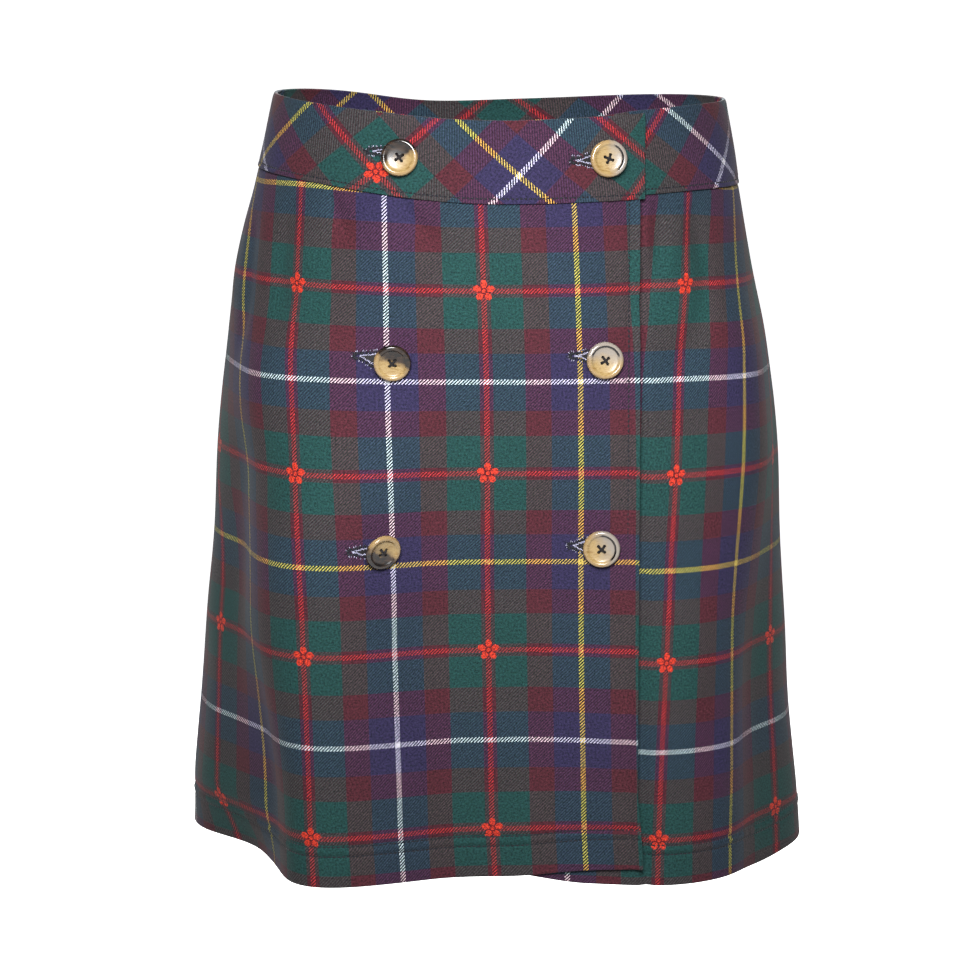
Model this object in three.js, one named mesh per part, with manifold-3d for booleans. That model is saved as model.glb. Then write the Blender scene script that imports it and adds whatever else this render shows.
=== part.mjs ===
// A short A-line wrap skirt with a double-breasted front and a bias waistband.
// Millimetres, +Z up. The wearer faces -Y, so -X is on the left when seen from the front.
// The origin is on the skirt's upright axis, level with the top edge at the middle of the front.
// Bearings are degrees round the body: 0 at the front, 90 at the right side, 180 at the back.

import * as THREE from 'three';
import * as BufferGeometryUtils from 'three/addons/utils/BufferGeometryUtils.js';
import Module from 'manifold-3d';

const wasm = await Module();
wasm.setup();

// Lengths down the body
const hemLevel = -468.8;
const bandHeight = 49.5;
const seamGap = 0.3;

// Cloth
const clothWall = 1.6;
const hemFoldExtra = 1;
const hemFoldHeight = 26;
const bandWall = 2.4;
const bandProud = 1;
const underPanelInset = 3.2;
const underBandInset = 2;

// Where the pieces end: seams by bearing, free edges by their distance from the middle
const sideSeamBearing = 98;
const panelWrapEdge = 85.9;
const panelFlare = { from: -410, to: -465, reach: 3.6 };
const bandWrapEdge = 89.2;
const hiddenEdge = -85;
const underEasesFrom = 50;
const underEasesOver = 30;

// The top edge and the waist seam rise towards the sides and dip at the back
const topRise = { left: 9.5, right: 5, backDip: 2.7 };
const topDip = { bearing: -150, spread: 22, depth: 3.2 };
const seamRise = { left: 13.2, right: 2, backDip: 2 };
const underLift = { from: 34, over: 12, fadeFrom: 62, fadeOver: 34, top: 1.5, seam: 2.1 };

// The free corner of the over panel hitches up, and the hem hangs a little lower from there to the right side
const overHitch = { from: 0, over: 38, height: 7 };
const underDrop = { from: 0, over: 25, hidden: -2, shown: 4.2, fadeFrom: 95, fadeOver: 45 };
const leftHitch = { bearing: -80, spread: 14, height: 2.4 };
const rightDrop = { bearing: 71, spread: 9, height: 2.8 };

// Horizontal sections from the waist down: half widths, depths and squareness of the corners
const sections = [
  { z: 20, left: 137.5, right: 140, front: 99, back: 93, square: 2 },
  { z: -50, left: 154, right: 152, front: 109, back: 106, square: 2 },
  { z: -100, left: 166, right: 161, front: 119, back: 122, square: 2.05 },
  { z: -155, left: 173, right: 172.2, front: 124, back: 130, square: 2.1 },
  { z: -210, left: 179, right: 178.5, front: 125, back: 130, square: 2.1 },
  { z: -270, left: 182, right: 181.6, front: 122, back: 127, square: 2.1 },
  { z: -325, left: 187.6, right: 185.4, front: 119, back: 124, square: 2.1 },
  { z: -380, left: 191.8, right: 188.2, front: 117, back: 122, square: 2.1 },
  { z: -435, left: 197, right: 193, front: 116, back: 121, square: 2.1 },
  { z: -475, left: 200, right: 195, front: 116, back: 121, square: 2.1 },
];

// Soft folds: where each stands, how wide it is, between which levels it grows, and how far it reaches
const folds = [
  { name: 'front left lobe', bearing: -40, spread: 17, from: -100, to: -290, reach: 43 },
  { name: 'left hip corner', bearing: -57, spread: 13, from: -104, to: -158, reach: 14 },
  { name: 'left hip corner eases', bearing: -64, spread: 15, from: -165, to: -225, reach: -8 },
  { name: 'left hip corner fades', bearing: -54, spread: 10, from: -300, to: -430, reach: -12 },
  { name: 'left hollow', bearing: -68, spread: 14, from: -300, to: -440, reach: -3 },
  { name: 'left hem tuck', bearing: -73, spread: 15, from: -425, to: -470, reach: -17 },
  { name: 'front right lobe', bearing: 44, spread: 18, from: -50, to: -380, reach: 26 },
  { name: 'right hip', bearing: 62, spread: 13, from: -55, to: -150, reach: 13 },
  { name: 'right hollow', bearing: 67, spread: 13, from: -190, to: -360, reach: -15 },
  { name: 'left side lobe', bearing: -108, spread: 14, from: -250, to: -467, reach: 8 },
  { name: 'right side lobe', bearing: 108, spread: 15, from: -250, to: -467, reach: 8 },
  { name: 'back left lobe', bearing: -143, spread: 18, from: -130, to: -400, reach: 24 },
  { name: 'back right lobe', bearing: 141, spread: 19, from: -130, to: -400, reach: 21 },
];

// Buttons: two columns, three rows, the top row on the band.
// Two hang forward with their faces a little down, and most turn a little to the front
const buttons = [
  { name: 'button_top_left', x: -59, z: -23, onBand: true, turn: 10 },
  { name: 'button_top_right', x: 65.3, z: -23.9, onBand: true, turn: -10 },
  { name: 'button_middle_left', x: -64, z: -145, onBand: false, tilt: 21, turn: 10 },
  { name: 'button_middle_right', x: 64, z: -144, onBand: false },
  { name: 'button_low_left', x: -72, z: -257, onBand: false, tilt: 21, turn: 10 },
  { name: 'button_low_right', x: 62.9, z: -259, onBand: false },
];
const buttonRadius = 11.4;
const buttonSegments = 24;
const buttonLift = 0.6;
const buttonFoot = 0.76;
const threadHole = { radius: 1, offset: 1.8, sides: 8, length: 12 };

// Mesh density
const columnStep = 3.2;
const bodyRows = 9;
const bandRows = 2;

const clothMaterial = new THREE.MeshStandardMaterial({ color: 0x47444f, roughness: 0.85, metalness: 0 });
const bandMaterial = new THREE.MeshStandardMaterial({ color: 0x423f4c, roughness: 0.85, metalness: 0 });
const hornMaterial = new THREE.MeshStandardMaterial({ color: 0x8d6d4a, roughness: 0.25, metalness: 0 });

const radians = THREE.MathUtils.degToRad;
const mix = THREE.MathUtils.lerp;

function smooth(share) {
  return THREE.MathUtils.smoothstep(share, 0, 1);
}

function wrapped(bearing) {
  return THREE.MathUtils.euclideanModulo(bearing + 180, 360) - 180;
}

// A section at any level, on a smooth curve through the rows of the table
function sectionAt(z) {
  const last = sections.length - 2;
  let row = 0;
  while (row < last && z < sections[row + 1].z) row += 1;
  const [upper, lower] = [sections[row], sections[row + 1]];
  const above = sections[Math.max(row - 1, 0)];
  const below = sections[Math.min(row + 2, sections.length - 1)];
  const height = lower.z - upper.z;
  const share = THREE.MathUtils.clamp((z - upper.z) / height, 0, 1);
  const section = {};
  for (const key of ['left', 'right', 'front', 'back', 'square']) {
    const slopeUp = (lower[key] - above[key]) / (lower.z - above.z) * height;
    const slopeDown = (below[key] - upper[key]) / (below.z - upper.z) * height;
    const change = lower[key] - upper[key];
    section[key] = upper[key] + share * (slopeUp
      + share * (3 * change - 2 * slopeUp - slopeDown + share * (slopeUp + slopeDown - 2 * change)));
  }
  return section;
}

// The ring in plan: a rounded oval with its soft folds
function ringPoint(bearing, z) {
  const section = sectionAt(z);
  const across = Math.sin(radians(bearing));
  const along = Math.cos(radians(bearing));
  const halfWidth = across < 0 ? section.left : section.right;
  const depth = along > 0 ? section.front : section.back;
  const power = section.square;
  let radius = (Math.abs(across / halfWidth) ** power + Math.abs(along / depth) ** power) ** (-1 / power);
  for (const fold of folds) {
    const grown = smooth((fold.from - z) / (fold.from - fold.to));
    radius += fold.reach * grown * Math.exp(-((wrapped(bearing - fold.bearing) / fold.spread) ** 2));
  }
  return new THREE.Vector2(radius * across, -radius * along);
}

// A point on the ring moved straight out from the cloth, or in when the offset is negative
function clothPoint(bearing, z, offset) {
  const halfStep = 0.5;
  const point = ringPoint(bearing, z);
  const tangent = ringPoint(bearing + halfStep, z).sub(ringPoint(bearing - halfStep, z)).normalize();
  return new THREE.Vector3(point.x + tangent.y * offset, point.y - tangent.x * offset, z);
}

function edgeLevel(bearing, base, rise) {
  const across = Math.sin(radians(bearing));
  const along = Math.cos(radians(bearing));
  const sideRise = across < 0 ? rise.left : rise.right;
  const dip = along < 0 ? rise.backDip * along * along : 0;
  return base + sideRise * across * across - dip;
}

function nearBearing(bearing, place) {
  return Math.exp(-((wrapped(bearing - place.bearing) / place.spread) ** 2));
}

function bandTop(bearing) {
  return edgeLevel(bearing, 0, topRise) - topDip.depth * nearBearing(bearing, topDip);
}

function waistSeam(bearing) {
  return edgeLevel(bearing, -bandHeight, seamRise);
}

function underLiftAt(bearing) {
  const grown = smooth((bearing - underLift.from) / underLift.over);
  return grown * (1 - smooth((bearing - underLift.fadeFrom) / underLift.fadeOver));
}

function overHem(bearing) {
  const corner = overHitch.height * smooth((bearing - overHitch.from) / overHitch.over);
  return hemLevel + corner + leftHitch.height * nearBearing(bearing, leftHitch);
}

function underHem(bearing) {
  const drop = mix(underDrop.hidden, underDrop.shown, smooth((bearing - underDrop.from) / underDrop.over));
  const faded = 1 - smooth((bearing - underDrop.fadeFrom) / underDrop.fadeOver);
  return hemLevel - drop * faded - rightDrop.height * nearBearing(bearing, rightDrop);
}

// Under the wrap the lower layer lies further in, and it comes out to the seam line at the side
function underInsetAt(bearing, inset, outside) {
  return mix(-inset, outside, smooth((bearing - underEasesFrom) / underEasesOver));
}

// The bearing at which the front of the ring lies this far to the side of the middle
function bearingAtX(x, z) {
  let [low, high] = [-90, 90];
  for (let turn = 0; turn < 30; turn += 1) {
    const middle = (low + high) / 2;
    if (ringPoint(middle, z).x < x) low = middle;
    else high = middle;
  }
  return (low + high) / 2;
}

// The over panel's free edge hangs straight and flares a little at the hem
function panelEnd(z) {
  const grown = smooth((panelFlare.from - z) / (panelFlare.from - panelFlare.to));
  return bearingAtX(panelWrapEdge + panelFlare.reach * grown, z);
}

// Half a seam's gap along the ring, as an angle
function gapBearing(bearing, z) {
  return THREE.MathUtils.radToDeg(seamGap / 2 / ringPoint(bearing, z).length());
}

// A closed wall from a grid of outer points and a grid of inner points.
// Columns run to the right as seen from outside, rows run down.
function wallGeometry(columns, rows, outerPoint, innerPoint) {
  const positions = [];
  const indices = [];
  const stride = rows + 1;
  const layer = (columns + 1) * stride;
  for (const place of [outerPoint, innerPoint]) {
    for (let column = 0; column <= columns; column += 1) {
      for (let row = 0; row <= rows; row += 1) {
        positions.push(...place(column / columns, row).toArray());
      }
    }
  }
  const outer = (column, row) => column * stride + row;
  const inner = (column, row) => layer + column * stride + row;
  const quad = (a, b, c, d) => indices.push(a, b, c, a, c, d);
  for (let column = 0; column < columns; column += 1) {
    const next = column + 1;
    for (let row = 0; row < rows; row += 1) {
      quad(outer(column, row), outer(column, row + 1), outer(next, row + 1), outer(next, row));
      quad(inner(column, row), inner(next, row), inner(next, row + 1), inner(column, row + 1));
    }
    quad(outer(column, 0), outer(next, 0), inner(next, 0), inner(column, 0));
    quad(outer(next, rows), outer(column, rows), inner(column, rows), inner(next, rows));
  }
  for (let row = 0; row < rows; row += 1) {
    quad(outer(0, row), inner(0, row), inner(0, row + 1), outer(0, row + 1));
    quad(outer(columns, row + 1), inner(columns, row + 1), inner(columns, row), outer(columns, row));
  }
  const geometry = new THREE.BufferGeometry();
  geometry.setAttribute('position', new THREE.Float32BufferAttribute(positions, 3));
  geometry.setIndex(indices);
  geometry.computeVertexNormals();
  return geometry;
}

// The rows of a skirt panel: even ones down to the doubled hem, then the hem's own
function panelLevels(top, hem) {
  const levels = [];
  const foldTop = hem + hemFoldHeight;
  for (let row = 0; row <= bodyRows; row += 1) {
    levels.push({ z: mix(top, foldTop, row / bodyRows), extra: 0 });
  }
  levels.push({ z: foldTop - 2 * hemFoldExtra, extra: hemFoldExtra });
  levels.push({ z: hem + hemFoldHeight / 2, extra: hemFoldExtra });
  levels.push({ z: hem, extra: hemFoldExtra });
  return levels;
}

function skirtPanel({ name, start, end, span, top, hem, offset }) {
  const bearingAt = (share, row) => {
    const level = mix(-bandHeight, hemLevel, Math.min(row / bodyRows, 1));
    return mix(start(level), end(level), share);
  };
  const place = (share, row, depth) => {
    const bearing = bearingAt(share, row);
    const { z, extra } = panelLevels(top(bearing) - seamGap / 2, hem(bearing))[row];
    return clothPoint(bearing, z, offset(bearing) - depth * (clothWall + extra));
  };
  const rows = panelLevels(0, hemLevel).length - 1;
  const geometry = wallGeometry(Math.round(span / columnStep), rows,
    (share, row) => place(share, row, 0), (share, row) => place(share, row, 1));
  const mesh = new THREE.Mesh(geometry, clothMaterial);
  mesh.name = name;
  return mesh;
}

function bandPiece({ name, start, end, span, lift, offset }) {
  const place = (share, row, depth) => {
    const level = -bandHeight * row / bandRows;
    const bearing = mix(start(level), end(level), share);
    const lifted = lift(bearing);
    const low = waistSeam(bearing) + seamGap / 2 + underLift.seam * lifted;
    const z = mix(bandTop(bearing) + underLift.top * lifted, low, row / bandRows);
    return clothPoint(bearing, z, offset(bearing) - depth * bandWall);
  };
  const geometry = wallGeometry(Math.round(span / columnStep), bandRows,
    (share, row) => place(share, row, 0), (share, row) => place(share, row, 1));
  const mesh = new THREE.Mesh(geometry, bandMaterial);
  mesh.name = name;
  return mesh;
}

// A merged closed mesh as a solid that can be cut
function toSolid(geometry) {
  geometry.deleteAttribute('normal');
  geometry.deleteAttribute('uv');
  const merged = BufferGeometryUtils.mergeVertices(geometry, 0.001);
  const index = merged.getIndex().array;
  const triangles = [];
  for (let corner = 0; corner < index.length; corner += 3) {
    const [a, b, c] = index.slice(corner, corner + 3);
    if (a !== b && b !== c && c !== a) triangles.push(a, b, c);
  }
  return new wasm.Manifold(new wasm.Mesh({
    numProp: 3,
    vertProperties: new Float32Array(merged.getAttribute('position').array),
    triVerts: new Uint32Array(triangles),
  }));
}

function toGeometry(solid) {
  const mesh = solid.getMesh();
  const geometry = new THREE.BufferGeometry();
  geometry.setAttribute('position', new THREE.BufferAttribute(mesh.vertProperties, 3));
  geometry.setIndex(new THREE.BufferAttribute(mesh.triVerts, 1));
  geometry.computeVertexNormals();
  return geometry;
}

// A turned horn button with a raised rim, a dished middle and four thread holes; its face looks along +Z
function buttonGeometry() {
  const profile = [
    { radius: 0, height: 0 },
    { radius: buttonFoot, height: 0 },
    { radius: 0.94, height: 0.9 },
    { radius: 1, height: 2.2 },
    { radius: 0.97, height: 3.5 },
    { radius: 0.88, height: 4.2 },
    { radius: 0.77, height: 4.1 },
    { radius: 0.66, height: 3.2 },
    { radius: 0.45, height: 2.6 },
    { radius: 0, height: 2.4 },
  ].map(({ radius, height }) => new THREE.Vector2(radius * buttonRadius, height));
  const disc = new THREE.LatheGeometry(profile, buttonSegments).rotateX(Math.PI / 2);
  let solid = toSolid(disc);
  for (const [x, y] of [[1, 1], [-1, 1], [-1, -1], [1, -1]]) {
    const { radius, offset, sides, length } = threadHole;
    const hole = new THREE.CylinderGeometry(radius, radius, length, sides).rotateX(Math.PI / 2);
    hole.translate(x * offset, y * offset, 0);
    solid = solid.subtract(toSolid(hole));
  }
  return toGeometry(solid);
}

// A button stands on the cloth's outer face, square to it, or leaning on one edge of its foot
function placeButton(mesh, { x, z, onBand, tilt = 0, turn = 0 }) {
  const halfStep = 4;
  const bearing = bearingAtX(x, z);
  const proud = onBand ? bandProud : 0;
  const at = (aside, rise) => clothPoint(bearing + aside, z + rise, proud);
  const right = at(halfStep, 0).sub(at(-halfStep, 0)).normalize();
  const up = at(0, halfStep).sub(at(0, -halfStep)).normalize();
  const out = right.clone().cross(up).normalize();
  up.crossVectors(out, right);
  const lean = radians(Math.hypot(tilt, turn));
  const lift = buttonLift + buttonFoot * buttonRadius * Math.sin(lean);
  mesh.position.copy(at(0, 0)).addScaledVector(out, lift);
  if (lean > 0) {
    const hinge = right.clone().multiplyScalar(tilt).addScaledVector(up, turn).normalize();
    for (const axis of [right, up, out]) axis.applyAxisAngle(hinge, lean);
  }
  mesh.quaternion.setFromRotationMatrix(new THREE.Matrix4().makeBasis(right, up, out));
}

const skirt = new THREE.Group();
skirt.name = 'wrap_skirt';

const leftSeam = -sideSeamBearing;
const rightSeam = sideSeamBearing;
const backSpan = 360 - 2 * sideSeamBearing;
const seamLevel = -bandHeight;
const leftBandSeam = leftSeam + gapBearing(leftSeam, seamLevel);
const rightBandSeam = rightSeam - gapBearing(rightSeam, seamLevel);
const none = () => 0;
const onBody = () => bandProud;

skirt.add(skirtPanel({
  name: 'front_over_panel',
  start: (z) => leftSeam + gapBearing(leftSeam, z),
  end: panelEnd,
  span: sideSeamBearing + 40,
  top: waistSeam,
  hem: overHem,
  offset: none,
}));

skirt.add(skirtPanel({
  name: 'front_under_panel',
  start: (z) => bearingAtX(hiddenEdge, z),
  end: (z) => rightSeam - gapBearing(rightSeam, z),
  span: sideSeamBearing + 34,
  top: (bearing) => waistSeam(bearing) + underLift.seam * underLiftAt(bearing),
  hem: underHem,
  offset: (bearing) => underInsetAt(bearing, underPanelInset, 0),
}));

skirt.add(skirtPanel({
  name: 'back_panel',
  start: (z) => rightSeam + gapBearing(rightSeam, z),
  end: (z) => rightSeam + backSpan - gapBearing(leftSeam, z),
  span: backSpan,
  top: waistSeam,
  hem: underHem,
  offset: none,
}));

skirt.add(bandPiece({
  name: 'waistband_front_over',
  start: () => leftBandSeam,
  end: (z) => bearingAtX(bandWrapEdge, z),
  span: sideSeamBearing + 40,
  lift: none,
  offset: onBody,
}));

skirt.add(bandPiece({
  name: 'waistband_front_under',
  start: (z) => bearingAtX(hiddenEdge, z),
  end: () => rightBandSeam,
  span: sideSeamBearing + 34,
  lift: underLiftAt,
  offset: (bearing) => underInsetAt(bearing, underBandInset, bandProud),
}));

skirt.add(bandPiece({
  name: 'waistband_back',
  start: () => 2 * rightSeam - rightBandSeam,
  end: () => 360 + 2 * leftSeam - leftBandSeam,
  span: backSpan,
  lift: none,
  offset: onBody,
}));

for (const button of buttons) {
  const mesh = new THREE.Mesh(buttonGeometry(), hornMaterial);
  mesh.name = button.name;
  placeButton(mesh, button);
  skirt.add(mesh);
}

export default skirt;
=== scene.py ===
import math
import bmesh
import bpy
import numpy as np
from mathutils import Matrix, Vector


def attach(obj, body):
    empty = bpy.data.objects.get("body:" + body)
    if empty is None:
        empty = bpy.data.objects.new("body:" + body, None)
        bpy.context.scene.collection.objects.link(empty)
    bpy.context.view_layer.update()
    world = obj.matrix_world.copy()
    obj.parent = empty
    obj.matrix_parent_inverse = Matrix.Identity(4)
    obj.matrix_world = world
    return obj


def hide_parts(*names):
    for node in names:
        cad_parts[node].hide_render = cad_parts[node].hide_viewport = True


# A short tartan wrap skirt, filled out as worn. Sizes are in millimetres and bearings in degrees round the
# body, 0 at the front and 90 at the right side; meshes are turned into metres when they are made.

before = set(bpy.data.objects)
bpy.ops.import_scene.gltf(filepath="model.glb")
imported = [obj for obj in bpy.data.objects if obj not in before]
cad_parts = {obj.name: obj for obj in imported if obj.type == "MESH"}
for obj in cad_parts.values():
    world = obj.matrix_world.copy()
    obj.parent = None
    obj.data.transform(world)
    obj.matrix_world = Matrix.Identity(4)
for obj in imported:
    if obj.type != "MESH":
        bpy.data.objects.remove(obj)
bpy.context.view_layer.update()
mm = 0.001
print("frame loaded with", len(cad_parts), "nodes")


# Form of the skirt, as the solids have it

skirt = {
    "hemLevel": -468.8, "bandHeight": 49.5, "sideSeam": 98.0,
    "panelWrapEdge": 85.9, "bandWrapEdge": 89.2, "hiddenEdge": -85.0,
    "panelInset": 3.2, "bandInset": 2.0, "bandProud": 1.0, "easesFrom": 50.0, "easesOver": 30.0,
    "seamLap": 0.7,   # rims round off, so sewn edges are cut a little past each other and close the seam
}

# level, half width left, half width right, depth front, depth back, squareness
sections = np.array([
    (20, 137.5, 140, 99, 93, 2.0),
    (-50, 154, 152, 109, 106, 2.0),
    (-100, 166, 161, 119, 122, 2.05),
    (-155, 173, 172.2, 124, 130, 2.1),
    (-210, 179, 178.5, 125, 130, 2.1),
    (-270, 182, 181.6, 122, 127, 2.1),
    (-325, 187.6, 185.4, 119, 124, 2.1),
    (-380, 191.8, 188.2, 117, 122, 2.1),
    (-435, 197, 193, 116, 121, 2.1),
    (-475, 200, 195, 116, 121, 2.1),
], dtype=float)

# bearing, spread, level where it starts, level where it is full, reach
folds = [
    (-40, 17, -100, -290, 43),   # front left lobe
    (-57, 13, -104, -158, 14),   # left hip corner
    (-64, 15, -165, -225, -8),   # which eases lower down
    (-54, 10, -300, -430, -12),  # and fades
    (-68, 14, -300, -440, -3),   # left hollow
    (-73, 15, -425, -470, -17),  # left hem tuck
    (44, 18, -50, -380, 26),     # front right lobe
    (62, 13, -55, -150, 13),     # right hip
    (67, 13, -190, -360, -15),   # right hollow
    (-108, 14, -250, -467, 8),   # left side lobe
    (108, 15, -250, -467, 8),    # right side lobe
    (-143, 18, -130, -400, 24),  # back left lobe
    (141, 19, -130, -400, 21),   # back right lobe
]

topRise = {"left": 9.5, "right": 5.0, "backDip": 2.7}
topDip = {"bearing": -150.0, "spread": 22.0, "depth": 3.2}
seamRise = {"left": 13.2, "right": 2.0, "backDip": 2.0}
underLift = {"from": 34.0, "over": 12.0, "fadeFrom": 62.0, "fadeOver": 34.0, "top": 1.5, "seam": 2.1}
overHitch = {"from": 0.0, "over": 38.0, "height": 7.0}
underDrop = {"from": 0.0, "over": 25.0, "hidden": -2.0, "shown": 4.2, "fadeFrom": 95.0, "fadeOver": 45.0}
leftHitch = {"bearing": -80.0, "spread": 14.0, "height": 2.4}
rightDrop = {"bearing": 71.0, "spread": 9.0, "height": 2.8}
panelFlare = {"from": -410.0, "to": -465.0, "reach": 3.6}


def smooth(share):
    share = np.clip(share, 0.0, 1.0)
    return share * share * (3.0 - 2.0 * share)


def rising(value, start, over):
    return smooth((value - start) / over)


def hump(away, width):
    return np.exp(-(away / width) ** 2)


def turnFrom(bearing, place):
    return (bearing - place + 180.0) % 360.0 - 180.0


def sectionAt(z):
    levels = sections[:, 0]
    row = np.searchsorted(-levels[1:-1], -z, side="left")
    upper, lower = sections[row], sections[row + 1]
    above = sections[np.maximum(row - 1, 0)]
    below = sections[np.minimum(row + 2, len(sections) - 1)]
    height = lower[..., 0:1] - upper[..., 0:1]
    share = np.clip((z[..., None] - upper[..., 0:1]) / height, 0.0, 1.0)
    slopeUp = (lower - above) / (lower[..., 0:1] - above[..., 0:1]) * height
    slopeDown = (below - upper) / (below[..., 0:1] - upper[..., 0:1]) * height
    change = lower - upper
    bend = 3 * change - 2 * slopeUp - slopeDown
    return upper + share * (slopeUp + share * (bend + share * (slopeUp + slopeDown - 2 * change)))


def ringPoint(bearing, z):
    bearing, z = np.broadcast_arrays(np.asarray(bearing, dtype=float), np.asarray(z, dtype=float))
    section = sectionAt(z)
    across, along = np.sin(np.radians(bearing)), np.cos(np.radians(bearing))
    halfWidth = np.where(across < 0, section[..., 1], section[..., 2])
    depth = np.where(along > 0, section[..., 3], section[..., 4])
    power = section[..., 5]
    radius = (np.abs(across / halfWidth) ** power + np.abs(along / depth) ** power) ** (-1.0 / power)
    for place, spread, start, full, reach in folds:
        away = turnFrom(bearing, place)
        radius = radius + reach * smooth((start - z) / (start - full)) * hump(away, spread)
    return radius * across, -radius * along


def clothPoint(bearing, z, offset):
    x, y = ringPoint(bearing, z)
    x1, y1 = ringPoint(bearing + 0.5, z)
    x0, y0 = ringPoint(bearing - 0.5, z)
    length = np.hypot(x1 - x0, y1 - y0)
    outX, outY = (y1 - y0) / length * offset, (x1 - x0) / length * offset
    return np.stack(np.broadcast_arrays(x + outX, y - outY, z), -1)


def edgeLevel(bearing, base, rise):
    across, along = np.sin(np.radians(bearing)), np.cos(np.radians(bearing))
    sideRise = np.where(across < 0, rise["left"], rise["right"])
    dip = np.where(along < 0, rise["backDip"] * along ** 2, 0.0)
    return base + sideRise * across ** 2 - dip


def nearBearing(bearing, place):
    return hump(turnFrom(bearing, place["bearing"]), place["spread"])


def bandTop(bearing):
    return edgeLevel(bearing, 0.0, topRise) - topDip["depth"] * nearBearing(bearing, topDip)


def waistSeam(bearing):
    return edgeLevel(bearing, -skirt["bandHeight"], seamRise)


def liftAt(bearing):
    grown = rising(bearing, underLift["from"], underLift["over"])
    return grown * (1 - rising(bearing, underLift["fadeFrom"], underLift["fadeOver"]))


def overHem(bearing):
    corner = overHitch["height"] * rising(bearing, overHitch["from"], overHitch["over"])
    return skirt["hemLevel"] + corner + leftHitch["height"] * nearBearing(bearing, leftHitch)


def underHem(bearing):
    grown = rising(bearing, underDrop["from"], underDrop["over"])
    drop = underDrop["hidden"] + (underDrop["shown"] - underDrop["hidden"]) * grown
    faded = 1 - rising(bearing, underDrop["fadeFrom"], underDrop["fadeOver"])
    return skirt["hemLevel"] - drop * faded - rightDrop["height"] * nearBearing(bearing, rightDrop)


def insetAt(bearing, inset, outside):
    return -inset + (outside + inset) * rising(bearing, skirt["easesFrom"], skirt["easesOver"])


def bearingAtX(x, z):
    x, z = np.broadcast_arrays(np.asarray(x, dtype=float), np.asarray(z, dtype=float))
    low, high = np.full(z.shape, -90.0), np.full(z.shape, 90.0)
    for turn in range(30):
        middle = (low + high) / 2
        short = ringPoint(middle, z)[0] < x
        low, high = np.where(short, middle, low), np.where(short, high, middle)
    return (low + high) / 2


def atX(x):
    return lambda z: bearingAtX(x, z)


def atBearing(bearing):
    return lambda z: np.full(np.shape(z), float(bearing))


def panelEnd(z):
    # the over panel's free edge hangs straight and flares a little at the hem
    grown = smooth((panelFlare["from"] - z) / (panelFlare["from"] - panelFlare["to"]))
    return bearingAtX(skirt["panelWrapEdge"] + panelFlare["reach"] * grown, z)


# Lengths along the cloth: how far each bearing lies from the middle of the front, at each level

tapePitch = 0.5
tapeBearings = np.arange(-120.0, 275.0, tapePitch)
tapeLevels = np.linspace(15.0, -480.0, 100)
tapeX, tapeY = ringPoint(tapeBearings[None, :], tapeLevels[:, None])
tapeStep = np.hypot(np.diff(tapeX, axis=1), np.diff(tapeY, axis=1))
tape = np.concatenate([np.zeros((len(tapeLevels), 1)), np.cumsum(tapeStep, axis=1)], axis=1)
tape -= tape[:, [int(np.argmin(np.abs(tapeBearings)))]]


def alongCloth(bearing, z):
    column = np.clip((bearing - tapeBearings[0]) / tapePitch, 0, len(tapeBearings) - 1.001)
    row = np.clip((tapeLevels[0] - z) / (tapeLevels[0] - tapeLevels[1]), 0, len(tapeLevels) - 1.001)
    c, r = column.astype(int), row.astype(int)
    dc, dr = column - c, row - r
    upper = tape[r, c] * (1 - dc) + tape[r, c + 1] * dc
    lower = tape[r + 1, c] * (1 - dc) + tape[r + 1, c + 1] * dc
    return upper * (1 - dr) + lower * dr


def byLevel(z, levels, values):
    return np.interp(-z, -np.array(levels, dtype=float), values)


def lineAlongCloth(levels, xs):
    front = np.abs(tapeBearings) <= 90
    wanted = byLevel(tapeLevels, levels, xs)
    runs = [np.interp(wanted[k], tapeX[k, front], tape[k, front]) for k in range(len(tapeLevels))]
    return lambda z: byLevel(z, tapeLevels, runs)


def evenBearings(start, end, level, pitch):
    # bearings from start to end that lie evenly along the cloth
    fine = np.linspace(start, end, 900)
    run = alongCloth(fine, level(fine))
    count = max(int(round(abs(run[-1] - run[0]) / pitch)), 2)
    return np.interp((np.arange(count) + 0.5) / count, (run - run[0]) / (run[-1] - run[0]), fine)


# Six buttons in two columns and three rows, the top row on the band. Some tilt forward or turn to the
# front. The dark side of the horn lies towards "patchTurn" and starts at "patch" of the radius; a ringed
# one is milky there, with a dark ring. "hole" is its buttonhole: the length shown, how far its left end
# lies above the button's middle, how steeply it falls, where the pale cord starts, where the slit starts to
# open, and how wide it opens.

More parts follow.
